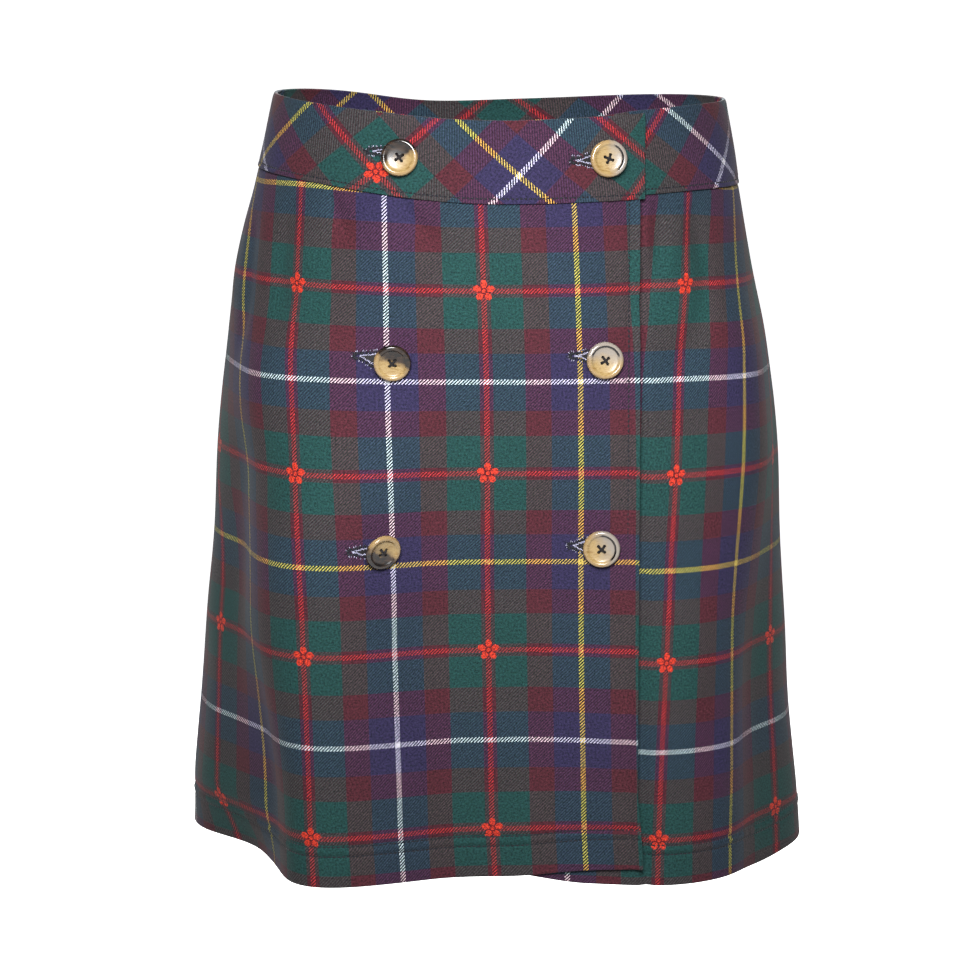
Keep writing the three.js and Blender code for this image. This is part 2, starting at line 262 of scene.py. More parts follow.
buttons = {
    "button_top_left": {
        "x": -59.0, "z": -23.0, "onBand": True, "turn": 10, "crossTurn": -8,
        "patchTurn": 115, "patch": 0.0, "ringed": 0, "hole": (11.5, 3.4, 0.0, 5.0, 5.0, 1.4),
    },
    "button_top_right": {
        "x": 65.3, "z": -23.9, "onBand": True, "turn": -10, "crossTurn": 21,
        "patchTurn": 5, "patch": 0.36, "ringed": 1, "hole": (13.5, -0.3, 0.0, 4.6, 7.5, 3.6),
    },
    "button_middle_left": {
        "x": -64.0, "z": -145.0, "onBand": False, "tilt": 21, "turn": 10, "crossTurn": 4,
        "patchTurn": 60, "patch": 0.15, "ringed": 0, "hole": (13.9, 3.3, 0.19, 5.0, 5.4, 5.4),
    },
    "button_middle_right": {
        "x": 64.0, "z": -144.0, "onBand": False, "crossTurn": -10,
        "patchTurn": 88, "patch": 0.2, "ringed": 1, "hole": (11.8, 3.2, 0.05, 5.0, 7.6, 3.2),
    },
    "button_low_left": {
        "x": -72.0, "z": -257.0, "onBand": False, "tilt": 21, "turn": 10, "crossTurn": -3,
        "patchTurn": 245, "patch": 0.1, "ringed": 0, "hole": (9.4, -0.8, 0.0, 4.2, 5.5, 2.6),
    },
    "button_low_right": {
        "x": 62.9, "z": -259.0, "onBand": False, "crossTurn": 2,
        "patchTurn": 22, "patch": 0.2, "ringed": 1, "hole": (12.0, 1.4, 0.02, 5.2, 5.6, 4.8),
    },
}
for button in buttons.values():
    button["bearing"] = float(bearingAtX(button["x"], button["z"]))
    tilt, turn = button.get("tilt", 0.0), button.get("turn", 0.0)
    button["hinge"], button["lean"] = (tilt, turn), math.radians(math.hypot(tilt, turn))


# Creases, listed one by one: bearing and level of both ends, sideways bow, width, depth (inwards is negative)

creases = [
    (-31, -50, -18, -74, 2, 6.5, -3.0),     # short dimple under the band, left of the middle
    (-52, -48, -44, -72, 1, 5.5, -2.6),
    (-12, -52, -4, -92, 3, 9, -0.7),
    (14, -51, 17, -84, -2, 8, -0.8),
    (50, -56, 38, -118, -5, 7, -3.0),       # drag lines from the right seam towards the wrap
    (62, -60, 46, -150, -8, 8.5, -3.0),
    (57, -58, 44, -98, -3, 6, 1.4),
    (-64, -56, -58, -128, 4, 8, -2.0),
    (-79, -66, -72, -150, -4, 9, -2.0),
    (-90, -60, -84, -120, 3, 8, 0.8),
    (36, -235, 52, -300, 6, 15, -1.0),
    (-22, -300, -30, -392, 5, 17, -0.9),
    (4, -330, 9, -452, -6, 19, -0.9),
    (-8, -180, -16, -262, 6, 16, -0.6),
    (24, -372, 28, -458, 4, 14, -1.0),
    (57, -330, 50, -446, -6, 14, 1.1),
    (-57, -330, -50, -452, 7, 15, -1.2),
    (-84, -330, -90, -455, -5, 16, -1.3),
    (86, -150, 80, -262, 5, 14, -1.2),
    (84, -352, 92, -458, -6, 15, -1.1),
    (116, -56, 126, -104, 4, 8, -1.5),      # the hidden back has its own drag lines and soft troughs
    (132, -54, 136, -96, -3, 7, -1.0),
    (158, -55, 166, -120, 5, 9, -1.2),
    (206, -54, 199, -112, -4, 8, -1.3),
    (226, -56, 232, -90, 3, 7, -1.0),
    (247, -58, 236, -128, -5, 9, -1.6),
    (150, -190, 158, -300, -8, 16, -1.0),
    (201, -210, 192, -330, 7, 18, -1.2),
    (168, -340, 175, -455, 6, 17, -1.1),
    (222, -320, 214, -450, -6, 15, -1.2),
    (124, -330, 130, -452, 5, 15, 1.1),
    (244, -300, 250, -440, -6, 16, -1.0),
]
degreeLength = 2.75
creaseFades = {"startsBefore": 0.22, "over": 0.45, "endsAt": 1.25, "endsOver": 0.6}
# how many waves round the body, height of a wave, shift, share of the size
wanders = [(5, 71, 0.4, 1.0), (9, -47, 1.9, 0.8), (14, 39, 4.2, 0.6), (23, -58, 2.6, 0.45)]
wandering = {"size": 0.32, "from": 40, "over": 60}
atButton = {"flatTo": 7, "over": 16, "dip": 0.3, "dipWidth": 8}


def relief(bearing, z):
    # soft creases and the slight unevenness of cloth that hangs, in millimetres outwards
    total, fades = 0.0, creaseFades
    for startBearing, startZ, endBearing, endZ, bow, width, depth in creases:
        dx, dz = (endBearing - startBearing) * degreeLength, endZ - startZ
        length = math.hypot(dx, dz)
        px, pz = (bearing - startBearing) * degreeLength, z - startZ
        share = (px * dx + pz * dz) / length ** 2
        aside = (px * dz - pz * dx) / length - bow * np.sin(np.pi * np.clip(share, 0, 1))
        fade = smooth((share + fades["startsBefore"]) / fades["over"])
        fade = fade * smooth((fades["endsAt"] - share) / fades["endsOver"])
        total = total + depth * fade * hump(aside, width)
    turn = np.radians(bearing)
    wander = sum(size * np.sin(waves * turn + z / height + shift) for waves, height, shift, size in wanders)
    total = total + wandering["size"] * wander * rising(-z, wandering["from"], wandering["over"])
    return atRestByButtons(total, bearing, z)


def atRestByButtons(offset, bearing, z):
    # the cloth lies flat under each button and dips a little where the thread holds it
    for button in buttons.values():
        away = np.hypot((bearing - button["bearing"]) * degreeLength, z - button["z"])
        offset = offset * rising(away, atButton["flatTo"], atButton["over"])
        offset = offset - atButton["dip"] * hump(away, atButton["dipWidth"])
    return offset


# Materials

colours = {
    "red": (170, 56, 60), "burgundy": (72, 31, 40), "green": (26, 62, 60), "navy": (43, 38, 69),
    "white": (220, 219, 226), "yellow": (213, 185, 86), "flower": (206, 56, 35),
    "flowerShade": (88, 22, 28), "amber": (144, 114, 66), "straw": (170, 145, 98), "bark": (18, 14, 13),
    "smoke": (76, 56, 42), "milk": (144, 137, 130), "rim": (152, 124, 86), "moat": (22, 17, 15),
    # the second thread colour and the second cord colour here are painted highlights, flecked along the strands
    "thread": (7, 8, 16), "threadHighlight": (24, 26, 44), "cord": (150, 150, 178), "cordHighlight": (214, 212, 228),
    # shade here is painted shade, for the dark sheet laid in each buttonhole slit
    "buttonThread": (20, 13, 14), "shade": (12, 7, 11), "floor": (246, 246, 246),
}


def linear(name):
    shares = [c / 255 for c in colours[name]]
    return [((c + 0.055) / 1.055) ** 2.4 if c > 0.04045 else c / 12.92 for c in shares] + [1.0]


class Nodes:
    # short hands for laying nodes and linking them
    def __init__(self, tree):
        self.tree = tree

    def add(self, kind, **settings):
        node = self.tree.nodes.new(kind)
        for key, value in settings.items():
            setattr(node, key, value)
        return node

    def put(self, socket, value):
        if isinstance(value, bpy.types.NodeSocket):
            self.tree.links.new(value, socket)
        else:
            socket.default_value = value

    def math(self, operation, *values):
        node = self.add("ShaderNodeMath", operation=operation)
        for socket, value in zip(node.inputs, values):
            self.put(socket, value)
        return node.outputs[0]

    def vector(self, operation, *values, gives="Vector"):
        node = self.add("ShaderNodeVectorMath", operation=operation)
        for socket, value in zip(node.inputs, values):
            self.put(socket, value)
        return node.outputs[gives]

    def grey(self, value):
        node = self.add("ShaderNodeCombineXYZ")
        for socket in node.inputs:
            self.put(socket, value)
        return node.outputs[0]

    def group(self, tree, **values):
        node = self.add("ShaderNodeGroup")
        node.node_tree = tree
        for name, value in values.items():
            self.put(node.inputs[name], value)
        return node.outputs

    def noise(self, vector, scale, detail=2.0, roughness=0.5):
        node = self.add("ShaderNodeTexNoise")
        self.put(node.inputs["Vector"], vector)
        node.inputs["Scale"].default_value = scale
        node.inputs["Detail"].default_value = detail
        node.inputs["Roughness"].default_value = roughness
        return node.outputs["Fac"]

    def mix(self, share, a, b, blend="MIX"):
        node = self.add("ShaderNodeMix", data_type="RGBA", blend_type=blend)
        for socket, value in zip((node.inputs[0], node.inputs[6], node.inputs[7]), (share, a, b)):
            self.put(socket, value)
        return node.outputs[2]

    def span(self, value, low, high, toLow=0.0, toHigh=1.0):
        node = self.add("ShaderNodeMapRange")
        for socket, number in zip(node.inputs, (value, low, high, toLow, toHigh)):
            self.put(socket, number)
        return node.outputs[0]

    def stops(self, value, stops, interpolation="LINEAR"):
        node = self.add("ShaderNodeValToRGB")
        node.color_ramp.interpolation = interpolation
        elements = node.color_ramp.elements
        while len(elements) < len(stops):
            elements.new(0.5)
        for element, (place, colour) in zip(elements, stops):
            element.position = place
            element.color = colour
        self.put(node.inputs[0], value)
        return node.outputs[0]


def newGroup(name, takes, gives):
    tree = bpy.data.node_groups.new(name, "ShaderNodeTree")
    for socket, kind in takes:
        tree.interface.new_socket(name=socket, in_out="INPUT", socket_type="NodeSocket" + kind)
    for socket, kind in gives:
        tree.interface.new_socket(name=socket, in_out="OUTPUT", socket_type="NodeSocket" + kind)
    nodes = Nodes(tree)
    return tree, nodes, nodes.add("NodeGroupInput"), nodes.add("NodeGroupOutput")


sett = {
    "half": 57.0, "redLine": 1.6, "flank": 4.0, "green": 23.4, "burgundy": 39.0, "navy": 55.4,
    "twillPitch": 2.04, "twillLean": 1.0, "yarnWander": 0.3, "redRest": 0.1, "blend": 0.42, "ribbing": 2.1,
    "between": 0.45, "tint": 5.0, "tintRest": 0.68, "heather": 0.68, "heatherHue": 0.4,
    "yarnNoise": 900.0, "cloudNoise": 38.0, "cloud": 0.045,
    "speck": {"Scale": 780.0, "Detail": 2.5, "Roughness": 0.75},
}
flower = {"reach": 6.7, "waist": 2.4, "pointed": 0.8, "ringFrom": 1.3, "ringTo": 2.0, "cleft": 0.45,
          "cleftFrom": 0.9, "tuftNoise": 1300.0, "ragged": 0.9, "raised": 0.9}


def makeStripes():
    # across the sett: blocks of three colours, with a red line at one end and white or yellow at the other
    gives = [("Block", "Color"), ("Line", "Color"), ("On Line", "Float"), ("Rest", "Float")]
    tree, n, given, result = newGroup("sett stripes", [("Place", "Float")], gives)
    place = given.outputs["Place"]
    half = sett["half"]
    fold = n.math("PINGPONG", place, half)
    blocks = [(0.0, "burgundy"), (sett["flank"], "green"), (sett["green"], "burgundy"),
              (sett["burgundy"], "navy")]
    ramp = n.stops(n.math("DIVIDE", fold, half), [(at / half, linear(name)) for at, name in blocks],
                   "CONSTANT")
    turn = n.math("PINGPONG", n.math("SUBTRACT", place, half), 2 * half)
    light = n.mix(n.math("LESS_THAN", turn, half), linear("yellow"), linear("white"))
    isRed = n.math("LESS_THAN", fold, sett["redLine"])
    n.put(result.inputs["Block"], ramp)
    n.put(result.inputs["Line"], n.mix(isRed, light, linear("red")))
    n.put(result.inputs["On Line"], n.math("ADD", isRed, n.math("GREATER_THAN", fold, sett["navy"])))
    n.put(result.inputs["Rest"], n.math("MULTIPLY", isRed, sett["redRest"]))
    return tree


def makeTartan():
    tree, n, given, result = newGroup("tartan cloth", [("Cloth", "Vector")],
                                      [("Color", "Color"), ("Height", "Float"), ("Flower", "Float")])
    cloth = given.outputs["Cloth"]
    wander = n.add("ShaderNodeTexNoise", noise_dimensions="3D")
    n.put(wander.inputs["Vector"], cloth)
    wander.inputs["Scale"].default_value = sett["yarnNoise"]
    shift = n.add("ShaderNodeSeparateXYZ")
    n.put(shift.inputs[0], wander.outputs["Color"])
    parts = n.add("ShaderNodeSeparateXYZ")
    n.put(parts.inputs[0], cloth)
    across = n.math("MULTIPLY", parts.outputs[0], 1000.0)
    along = n.math("MULTIPLY", parts.outputs[1], 1000.0)
    places = [n.math("MULTIPLY_ADD", shift.outputs[k], sett["yarnWander"], axis)
              for k, axis in enumerate((across, along))]
    warp, weft = [n.group(stripeTree, Place=place) for place in places]
    lean = n.math("MULTIPLY_ADD", along, -sett["twillLean"], across)
    rib = n.math("PINGPONG", n.math("DIVIDE", lean, sett["twillPitch"]), 0.5)
    share = n.span(rib, 0.2, 0.3, sett["blend"], 1.0 - sett["blend"])
    warpShows, weftShows = n.span(rib, 0.26, 0.35), n.span(rib, 0.24, 0.15)

    # where two block colours cross, the ribs only lean towards one or the other, a little lighter or darker
    block = n.mix(share, weft["Block"], warp["Block"])
    unlike = n.span(n.vector("DISTANCE", warp["Block"], weft["Block"], gives="Value"), 0.004, 0.02)
    ribbed = n.math("MULTIPLY", n.math("SUBTRACT", rib, 0.25), sett["ribbing"])
    block = n.mix(1.0, block, n.grey(n.math("MULTIPLY_ADD", unlike, ribbed, 1.0)), "MULTIPLY")

    # the thin lines show in full on every other rib, dyed a little by the block that they cross
    woven = block
    for line, crossed, shows in ((warp, weft, warpShows), (weft, warp, weftShows)):
        gap = n.span(shows, 0.0, 1.0, sett["between"], 1.0)
        darker = n.mix(line["On Line"], n.grey(1.0), n.grey(gap))
        woven = n.mix(n.math("SUBTRACT", 1.0, crossed["On Line"]), woven,
                      n.mix(1.0, woven, darker, "MULTIPLY"))
        dye = n.vector("MULTIPLY_ADD", crossed["Block"], [sett["tint"]] * 3, [sett["tintRest"]] * 3)
        dye = n.mix(crossed["On Line"], n.vector("MINIMUM", dye, [1.0] * 3), [1.0] * 4)
        dyed = n.mix(1.0, line["Line"], dye, "MULTIPLY")
        showing = n.math("MULTIPLY", line["On Line"], n.math("MAXIMUM", shows, line["Rest"]))
        woven = n.mix(showing, woven, dyed)

    # a plain five-petalled flower on every crossing of two red lines
    half = sett["half"]
    x = n.math("WRAP", across, half, -half)
    y = n.math("WRAP", along, half, -half)
    radius = n.math("SQRT", n.math("ADD", n.math("MULTIPLY", x, x), n.math("MULTIPLY", y, y)))
    angle = n.math("SUBTRACT", n.math("ARCTAN2", y, x), math.pi / 2)
    petal = n.math("POWER", n.math("ABSOLUTE", n.math("COSINE", n.math("MULTIPLY", angle, 2.5))),
                   flower["pointed"])
    reach = n.math("MULTIPLY_ADD", petal, flower["reach"] - flower["waist"], flower["waist"])
    tuft = n.noise(cloth, flower["tuftNoise"], 1.0)
    ragged = n.math("MULTIPLY_ADD", tuft, flower["ragged"], n.math("ADD", reach, -flower["ragged"] / 2))
    inside = n.span(n.math("SUBTRACT", ragged, radius), -0.1, 0.2)
    ring = n.math("MULTIPLY", n.math("GREATER_THAN", radius, flower["ringFrom"]),
                  n.math("LESS_THAN", radius, flower["ringTo"]))
    cleft = n.math("MULTIPLY", n.math("LESS_THAN", petal, flower["cleft"]),
                   n.math("GREATER_THAN", radius, flower["cleftFrom"]))
    open = n.math("MAXIMUM", ring, cleft)
    mask = n.math("MULTIPLY", inside, n.math("SUBTRACT", 1.0, open))
    tufted = n.mix(n.span(tuft, 0.36, 0.5), linear("flowerShade"), linear("flower"))
    printed = n.mix(inside, woven, n.mix(open, tufted, linear("flowerShade")))

    # heathered yarn: fine light and dark specks, a little coloured, and broad faint clouds
    speck = n.add("ShaderNodeTexNoise")
    n.put(speck.inputs["Vector"], cloth)
    for socket, value in sett["speck"].items():
        speck.inputs[socket].default_value = value
    hues = n.vector("MULTIPLY_ADD", speck.outputs["Color"], [sett["heatherHue"]] * 3,
                    [-0.5 * sett["heatherHue"]] * 3)
    cloud = n.noise(cloth, sett["cloudNoise"], 3.0)
    heather = sett["heather"]
    shade = n.math("ADD", n.span(speck.outputs["Fac"], 0.3, 0.7, 1 - heather, 1 + heather * 1.1),
                   n.span(cloud, 0.3, 0.7, -sett["cloud"], sett["cloud"]))
    tone = n.vector("ADD", n.grey(shade), hues)
    n.put(result.inputs["Color"], n.mix(1.0, printed, tone, "MULTIPLY"))
    grain = n.math("MULTIPLY_ADD", speck.outputs["Fac"], 0.7, n.math("MULTIPLY", rib, 0.5))
    n.put(result.inputs["Height"], n.math("MULTIPLY_ADD", mask, flower["raised"], grain))
    n.put(result.inputs["Flower"], mask)
    return tree


def newMaterial(name, roughness, **settings):
    material = bpy.data.materials.new(name)
    material.use_nodes = True
    n = Nodes(material.node_tree)
    shader = material.node_tree.nodes["Principled BSDF"]
    shader.inputs["Roughness"].default_value = roughness
    for key, value in settings.items():
        shader.inputs[key].default_value = value
    return material, n, shader


def addBump(n, shader, height, strength, distance):
    bump = n.add("ShaderNodeBump")
    bump.inputs["Strength"].default_value = strength
    bump.inputs["Distance"].default_value = distance
    n.put(bump.inputs["Height"], height)
    n.put(shader.inputs["Normal"], bump.outputs[0])


def makeClothMaterial(name):
    material, n, shader = newMaterial(name, 0.86, **{"Specular IOR Level": 0.2, "Sheen Weight": 0.05,
                                                     "Sheen Roughness": 0.45})
    cloth = n.group(tartanTree, Cloth=n.add("ShaderNodeUVMap", uv_map="cloth").outputs[0])
    n.put(shader.inputs["Base Color"], cloth["Color"])
    n.put(shader.inputs["Roughness"], n.span(cloth["Flower"], 0.0, 1.0, 0.88, 0.74))
    addBump(n, shader, cloth["Height"], 0.35, 0.0004)
    return material


def makeThreadMaterial(name, colour, lighter, lit=0.75):
    material, n, shader = newMaterial(name, 0.6, **{"Sheen Weight": 0.08, "Specular IOR Level": 0.3})
    place = n.add("ShaderNodeTexCoord").outputs["Object"]
    strand = n.noise(place, 2600.0, 2.0)
    # the second colour is laid in fine flecks by noise; on the navy thread and the pale cord these lighter flecks are
    # painted highlights
    n.put(shader.inputs["Base Color"], n.mix(n.span(strand, 0.45, lit), linear(colour), linear(lighter)))
    addBump(n, shader, strand, 0.5, 0.0002)
    return material


horn = {"ringFrom": 0.7, "ringTo": 0.8, "rimFrom": 0.82, "wander": 0.9, "edge": 0.1}


def makeHornMaterial():
    # amber horn that turns to dark brown over one side of each button, or to milky grey with a dark ring.
    # "face" runs over the button from -1 to 1, towards the dark side; "mottle" holds where it starts and
    # which kind.
    material, n, shader = newMaterial("polished horn look", 0.2, **{"IOR": 1.54, "Coat Weight": 0.12,
                                                                   "Coat Roughness": 0.08})
    face = n.add("ShaderNodeUVMap", uv_map="face").outputs[0]
    place = n.add("ShaderNodeTexCoord").outputs["Object"]
    parts, mottle = n.add("ShaderNodeSeparateXYZ"), n.add("ShaderNodeSeparateXYZ")
    n.put(parts.inputs[0], face)
    n.put(mottle.inputs[0], n.add("ShaderNodeUVMap", uv_map="mottle").outputs[0])
    ringed = mottle.outputs[1]
    radius = n.vector("LENGTH", face, gives="Value")
    cloud = n.noise(place, 170.0, 2.0, 0.5)
    streak = n.add("ShaderNodeMapping")
    streak.inputs["Scale"].default_value = (1.0, 1.0, 3.5)
    n.put(streak.inputs["Vector"], place)
    streaks = n.noise(streak.outputs[0], 190.0, 4.0, 0.6)
    away = n.math("SUBTRACT", parts.outputs[0], mottle.outputs[0])
    reach = n.math("MULTIPLY_ADD", n.math("SUBTRACT", cloud, 0.5), horn["wander"], away)
    light = n.stops(streaks, [(0.34, linear("amber")), (0.52, linear("straw")), (0.68, linear("amber"))])
    onRim = n.span(radius, horn["rimFrom"] - 0.02, horn["rimFrom"] + 0.03)
    light = n.mix(n.math("MULTIPLY", onRim, 0.6), light, linear("rim"))
    dark = n.stops(streaks, [(0.42, linear("bark")), (0.85, linear("smoke"))])
    smoky = n.mix(n.span(reach, -0.3, 0.0, 0.0, 0.7), light, linear("smoke"))
    patched = n.mix(n.span(reach, -horn["edge"] / 2, horn["edge"]), smoky, dark)
    milky = n.mix(n.span(reach, -0.45, 0.25, 0.0, 0.9), light, linear("milk"))
    inRing = n.math("MULTIPLY", n.math("GREATER_THAN", radius, horn["ringFrom"]),
                    n.math("LESS_THAN", radius, horn["ringTo"]))
    inRing = n.math("MULTIPLY", inRing, n.span(away, -0.05, 0.1))
    milky = n.mix(inRing, milky, linear("moat"))
    n.put(shader.inputs["Base Color"], n.mix(ringed, patched, milky))
    n.put(shader.inputs["Roughness"], n.span(radius, 0.68, 0.84, 0.34, 0.15))
    addBump(n, shader, streaks, 0.04, 0.0003)
    return material


def makeFloorMaterial():
    glow = {"Emission Color": (1.0, 1.0, 1.0, 1.0), "Emission Strength": stage["glow"]}
    material, n, shader = newMaterial("pale floor", 0.9, **glow)
    place = n.add("ShaderNodeTexCoord").outputs["Object"]
    n.put(shader.inputs["Base Color"], n.mix(n.noise(place, 3.0), linear("floor"), (1.0, 1.0, 1.0, 1.0)))
    return material


stripeTree = makeStripes()
tartanTree = makeTartan()
clothMaterial = makeClothMaterial("tartan cloth")
bandMaterial = makeClothMaterial("tartan cloth on the bias")
hornMaterial = makeHornMaterial()
# the lighter flecks on the navy thread and on the pale cord are painted highlights
threadMaterial = makeThreadMaterial("navy thread", "thread", "threadHighlight")
darkThreadMaterial = makeThreadMaterial("button thread", "buttonThread", "thread")
cordMaterial = makeThreadMaterial("pale buttonhole cord", "cord", "cordHighlight")
# painted shade: near-black material for the sheet in each buttonhole slit
shadeMaterial = makeThreadMaterial("painted shade in the buttonhole", "shade", "thread", 0.9)
print("materials made")


# Mesh helpers

def edgeShares(length, step, fine, atEnd=True):
    # places along an edge, even but closer near the ends, where the cloth turns into a seam
    start = np.array(fine, dtype=float)
    end = length - start[::-1] if atEnd else np.array([length])
    count = max(int(round((end[0] - start[-1]) / step)), 1)
    middle = np.linspace(start[-1], end[0], count + 1)[1:-1]
    return np.concatenate([start, middle, end]) / length


def gridMesh(name, columns, rows, points, uv=None):
    # a sheet shaped by formula: points runs over rows from the bottom, and over columns to the right
    bm = bmesh.new()
    bmesh.ops.create_grid(bm, x_segments=columns - 1, y_segments=rows - 1, size=0.5)
    mesh = bpy.data.meshes.new(name)
    bm.to_mesh(mesh)
    bm.free()
    mesh.vertices.foreach_set("co", (points * mm).astype(np.float32).ravel())
    if uv is not None:
        corners = np.empty(len(mesh.loops), dtype=np.int32)
        mesh.loops.foreach_get("vertex_index", corners)
        layer = mesh.uv_layers.new(name="cloth")
        layer.data.foreach_set("uv", (uv.reshape(-1, 2)[corners] * mm).astype(np.float32).ravel())
    mesh.shade_smooth()
    mesh.update()
    return mesh


def newPiece(mesh, material, slotName, *replaced):
    piece = bpy.data.objects.new(mesh.name, mesh)
    bpy.context.scene.collection.objects.link(piece)
    mesh.materials.clear()
    mesh.materials.append(material)
    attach(piece, "root")
    if replaced:
        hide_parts(*replaced)
    return piece


rimCut = {"segments": 2, "sharperThan": 50}


def thicken(piece, wall, rim):
    solid = piece.modifiers.new("wall", "SOLIDIFY")
    solid.thickness = wall * mm
    solid.offset = -1.0
    solid.use_even_offset = False
    if "hem" in piece.vertex_groups:
        solid.vertex_group = "hem"
        solid.thickness_vertex_group = panelCut["wallShare"]
    bevel = piece.modifiers.new("rim", "BEVEL")
    bevel.width = rim * mm
    bevel.segments = rimCut["segments"]
    bevel.limit_method = "ANGLE"
    bevel.angle_limit = math.radians(rimCut["sharperThan"])


# Where the check lies on each piece

half = sett["half"]


def settLevels(below, levels):
    # where the level lines of the check lie, from the lowest red one upwards at half a sett each
    return below + [(level, k * half) for k, level in enumerate(levels)]


lineLevels = settLevels([(-494.7, -half), (-468.6, -30.9)],
                        (-437.7, -380.6, -323.2, -267.4, -212.3, -156.2, -101.4, -46.6, 8.2))
underLineLevels = settLevels([(-501.0, -half), (-472.8, -28.8)],
                             (-444.0, -387.9, -331.7, -274.1, -215.7, -157.4, -101.1, -44.8, 11.5))


def heightOnSett(z, levels):
    places, marks = zip(*levels)
    return np.interp(z, places, marks)


levelsDown = (-50, -100, -155, -210, -267, -323, -380, -438, -468)
overRed = lineAlongCloth(levelsDown, (-10.8, -9, -7.2, -6.6, -6.6, -6, -4.8, -3.6, -1.8))
underRed = lineAlongCloth(levelsDown, (118.8, 116.6, 111.8, 109.8, 106.8, 104.3, 101.8, 99.8, 99.3))

# The cloth is stretched a little towards the left side seam, by more lower down, and eased on the right.
# "corner" is height, bearings it takes, level and depth; "nearBand" is height, where it starts leftwards
# and what it takes.
drawn = {
    "levels": (-50, -120, -172, -234, -300, -468), "left": 1.045,
    "gain": (0.03, 0.07, 0.03, -0.01, -0.04, -0.06),
    "outer": (-0.02, -0.07, -0.07, 0.1, 0.06, 0.07), "corner": (2.5, 38, -370, 68),
    "nearBand": ((3.6, 12, 26), (0.8, 40, 20), (-2, 62, 22)), "bandRise": (-78, 28),
}
eased = {
    "levels": (-50, -120, -200, -300, -400, -468), "right": (0.87, 0.83, 0.86, 0.91, 0.97, 1.0),
    "outer": 0.15, "sinks": 3.6, "sinkAcross": (45, 45), "sinkAbove": (-215, 60),
    "seamRise": 4.8, "seamAcross": (58, 22), "seamAbove": (-75, 25),
}


def overCloth(bearing, z):
    # the lines near the free corner rise a little with the hem, the first one below the band with the seam
    height, across, level, depth = drawn["corner"]
    rise = height * smooth(bearing / across) * smooth((level - z) / depth)
    upper = sum(size * rising(-bearing, start, over) for size, start, over in drawn["nearBand"])
    rise = rise + upper * rising(z, *drawn["bandRise"])
    away = alongCloth(bearing, z) - overRed(z)
    gain = byLevel(z, drawn["levels"], drawn["gain"]) / (2 * half)
    left = np.maximum(-away, 0)
    left = 2 * left / (drawn["left"] + np.sqrt(drawn["left"] ** 2 + 2 * gain * left))
    beyond = np.maximum(left - 2 * half, 0)
    left = left - beyond + beyond / (1 + byLevel(z, drawn["levels"], drawn["outer"]))
    return np.stack([2 * half + np.maximum(away, 0) - left, heightOnSett(z - rise, lineLevels)], -1)


def underCloth(bearing, z):
    away = alongCloth(bearing, z) - underRed(z)
    right = byLevel(z, eased["levels"], eased["right"])
    first = np.clip(away, 0, half * right)
    beyond = np.maximum(away - first, 0)
    across = np.minimum(away, 0) + first / right + beyond / (right + eased["outer"])
    # towards the side the level lines sink near the top, and the first one hides under the band before it
    sink = eased["sinks"] * rising(bearing, *eased["sinkAcross"]) * rising(z, *eased["sinkAbove"])
    hidden = eased["seamRise"] * (1 - rising(bearing, *eased["seamAcross"])) * rising(z, *eased["seamAbove"])
    return np.stack([2 * half + across, heightOnSett(z + sink - hidden, underLineLevels)], -1)


def backCloth(bearing, z):
    share = smooth((bearing - skirt["sideSeam"]) / (360 - 2 * skirt["sideSeam"]))
    height = heightOnSett(z, underLineLevels) * (1 - share) + heightOnSett(z, lineLevels) * share
    middle = alongCloth(np.full(z.shape, 180.0), z)
    return np.stack([alongCloth(bearing, z) - middle, height], -1)


# Skirt panels

def flush(bearing):
    return 0.0 * bearing


def proud(bearing):
    return skirt["bandProud"] + 0.0 * bearing


panels = {
    "over_panel_cloth": {
        "node": "front_over_panel", "cloth": overCloth, "band": "waistband_front_over",
        "start": atBearing(-skirt["sideSeam"]), "end": panelEnd,
        "top": waistSeam, "hem": overHem, "offset": flush,
        "seamAtStart": True, "seamAtEnd": False, "span": 372.0,
    },
    "under_panel_cloth": {
        "node": "front_under_panel", "cloth": underCloth, "band": "waistband_front_under",
        "start": atX(skirt["hiddenEdge"]), "end": atBearing(skirt["sideSeam"]),
        "top": lambda b: waistSeam(b) + underLift["seam"] * liftAt(b), "hem": underHem,
        "offset": lambda b: insetAt(b, skirt["panelInset"], 0.0),
        "seamAtStart": False, "seamAtEnd": True, "span": 372.0,
    },
    "back_panel_cloth": {
        "node": "back_panel", "cloth": backCloth, "band": "waistband_back",
        "start": atBearing(skirt["sideSeam"]), "end": atBearing(360 - skirt["sideSeam"]),
        "top": waistSeam, "hem": underHem, "offset": flush,
        "seamAtStart": True, "seamAtEnd": True, "span": 480.0,
    },
}
panelCut = {
    "columnStep": 2.1, "rowStep": 2.9, "hemRowStep": 1.3, "fineEdge": (0.0, 0.5, 1.1, 1.9, 3.0),
    "hemWall": 2.2, "wallShare": 0.55, "rim": 0.35, "tuck": 1.3, "tuckWidth": 1.3,
    "hemRows": (19.5, 25.5), "hemDepth": 27.0, "hemEdge": 0.75, "welt": 0.45, "weltShare": 2.4,
    "groove": 0.85, "grooveWidth": 1.15, "pucker": 0.16, "puckerLength": 1.25, "swing": 1.7,
    "swingLength": 3.1, "gather": 0.1, "gatherRate": 1.9, "wrapRow": 7.0, "wrapGroove": 0.75,
    "wrapGrooveWidth": 1.4, "wrapRoll": 1.6, "wrapRollWidth": 3.0, "hollow": 2.6, "hollowFrom": 2.5, "hollowWidth": 3.6,
}


def seamTuck(piece, fromStart, fromEnd, cut):
    # how far the cloth turns in at its sewn edges
    tuck = 0.0
    for away, sewn in ((fromStart, piece["seamAtStart"]), (fromEnd, piece["seamAtEnd"])):
        if sewn:
            tuck = tuck + turnedIn(away, cut)
    return tuck


def turnedIn(away, cut):
    return cut["tuck"] * np.exp(-(np.maximum(away, 0) / cut["tuckWidth"]) ** 1.5)


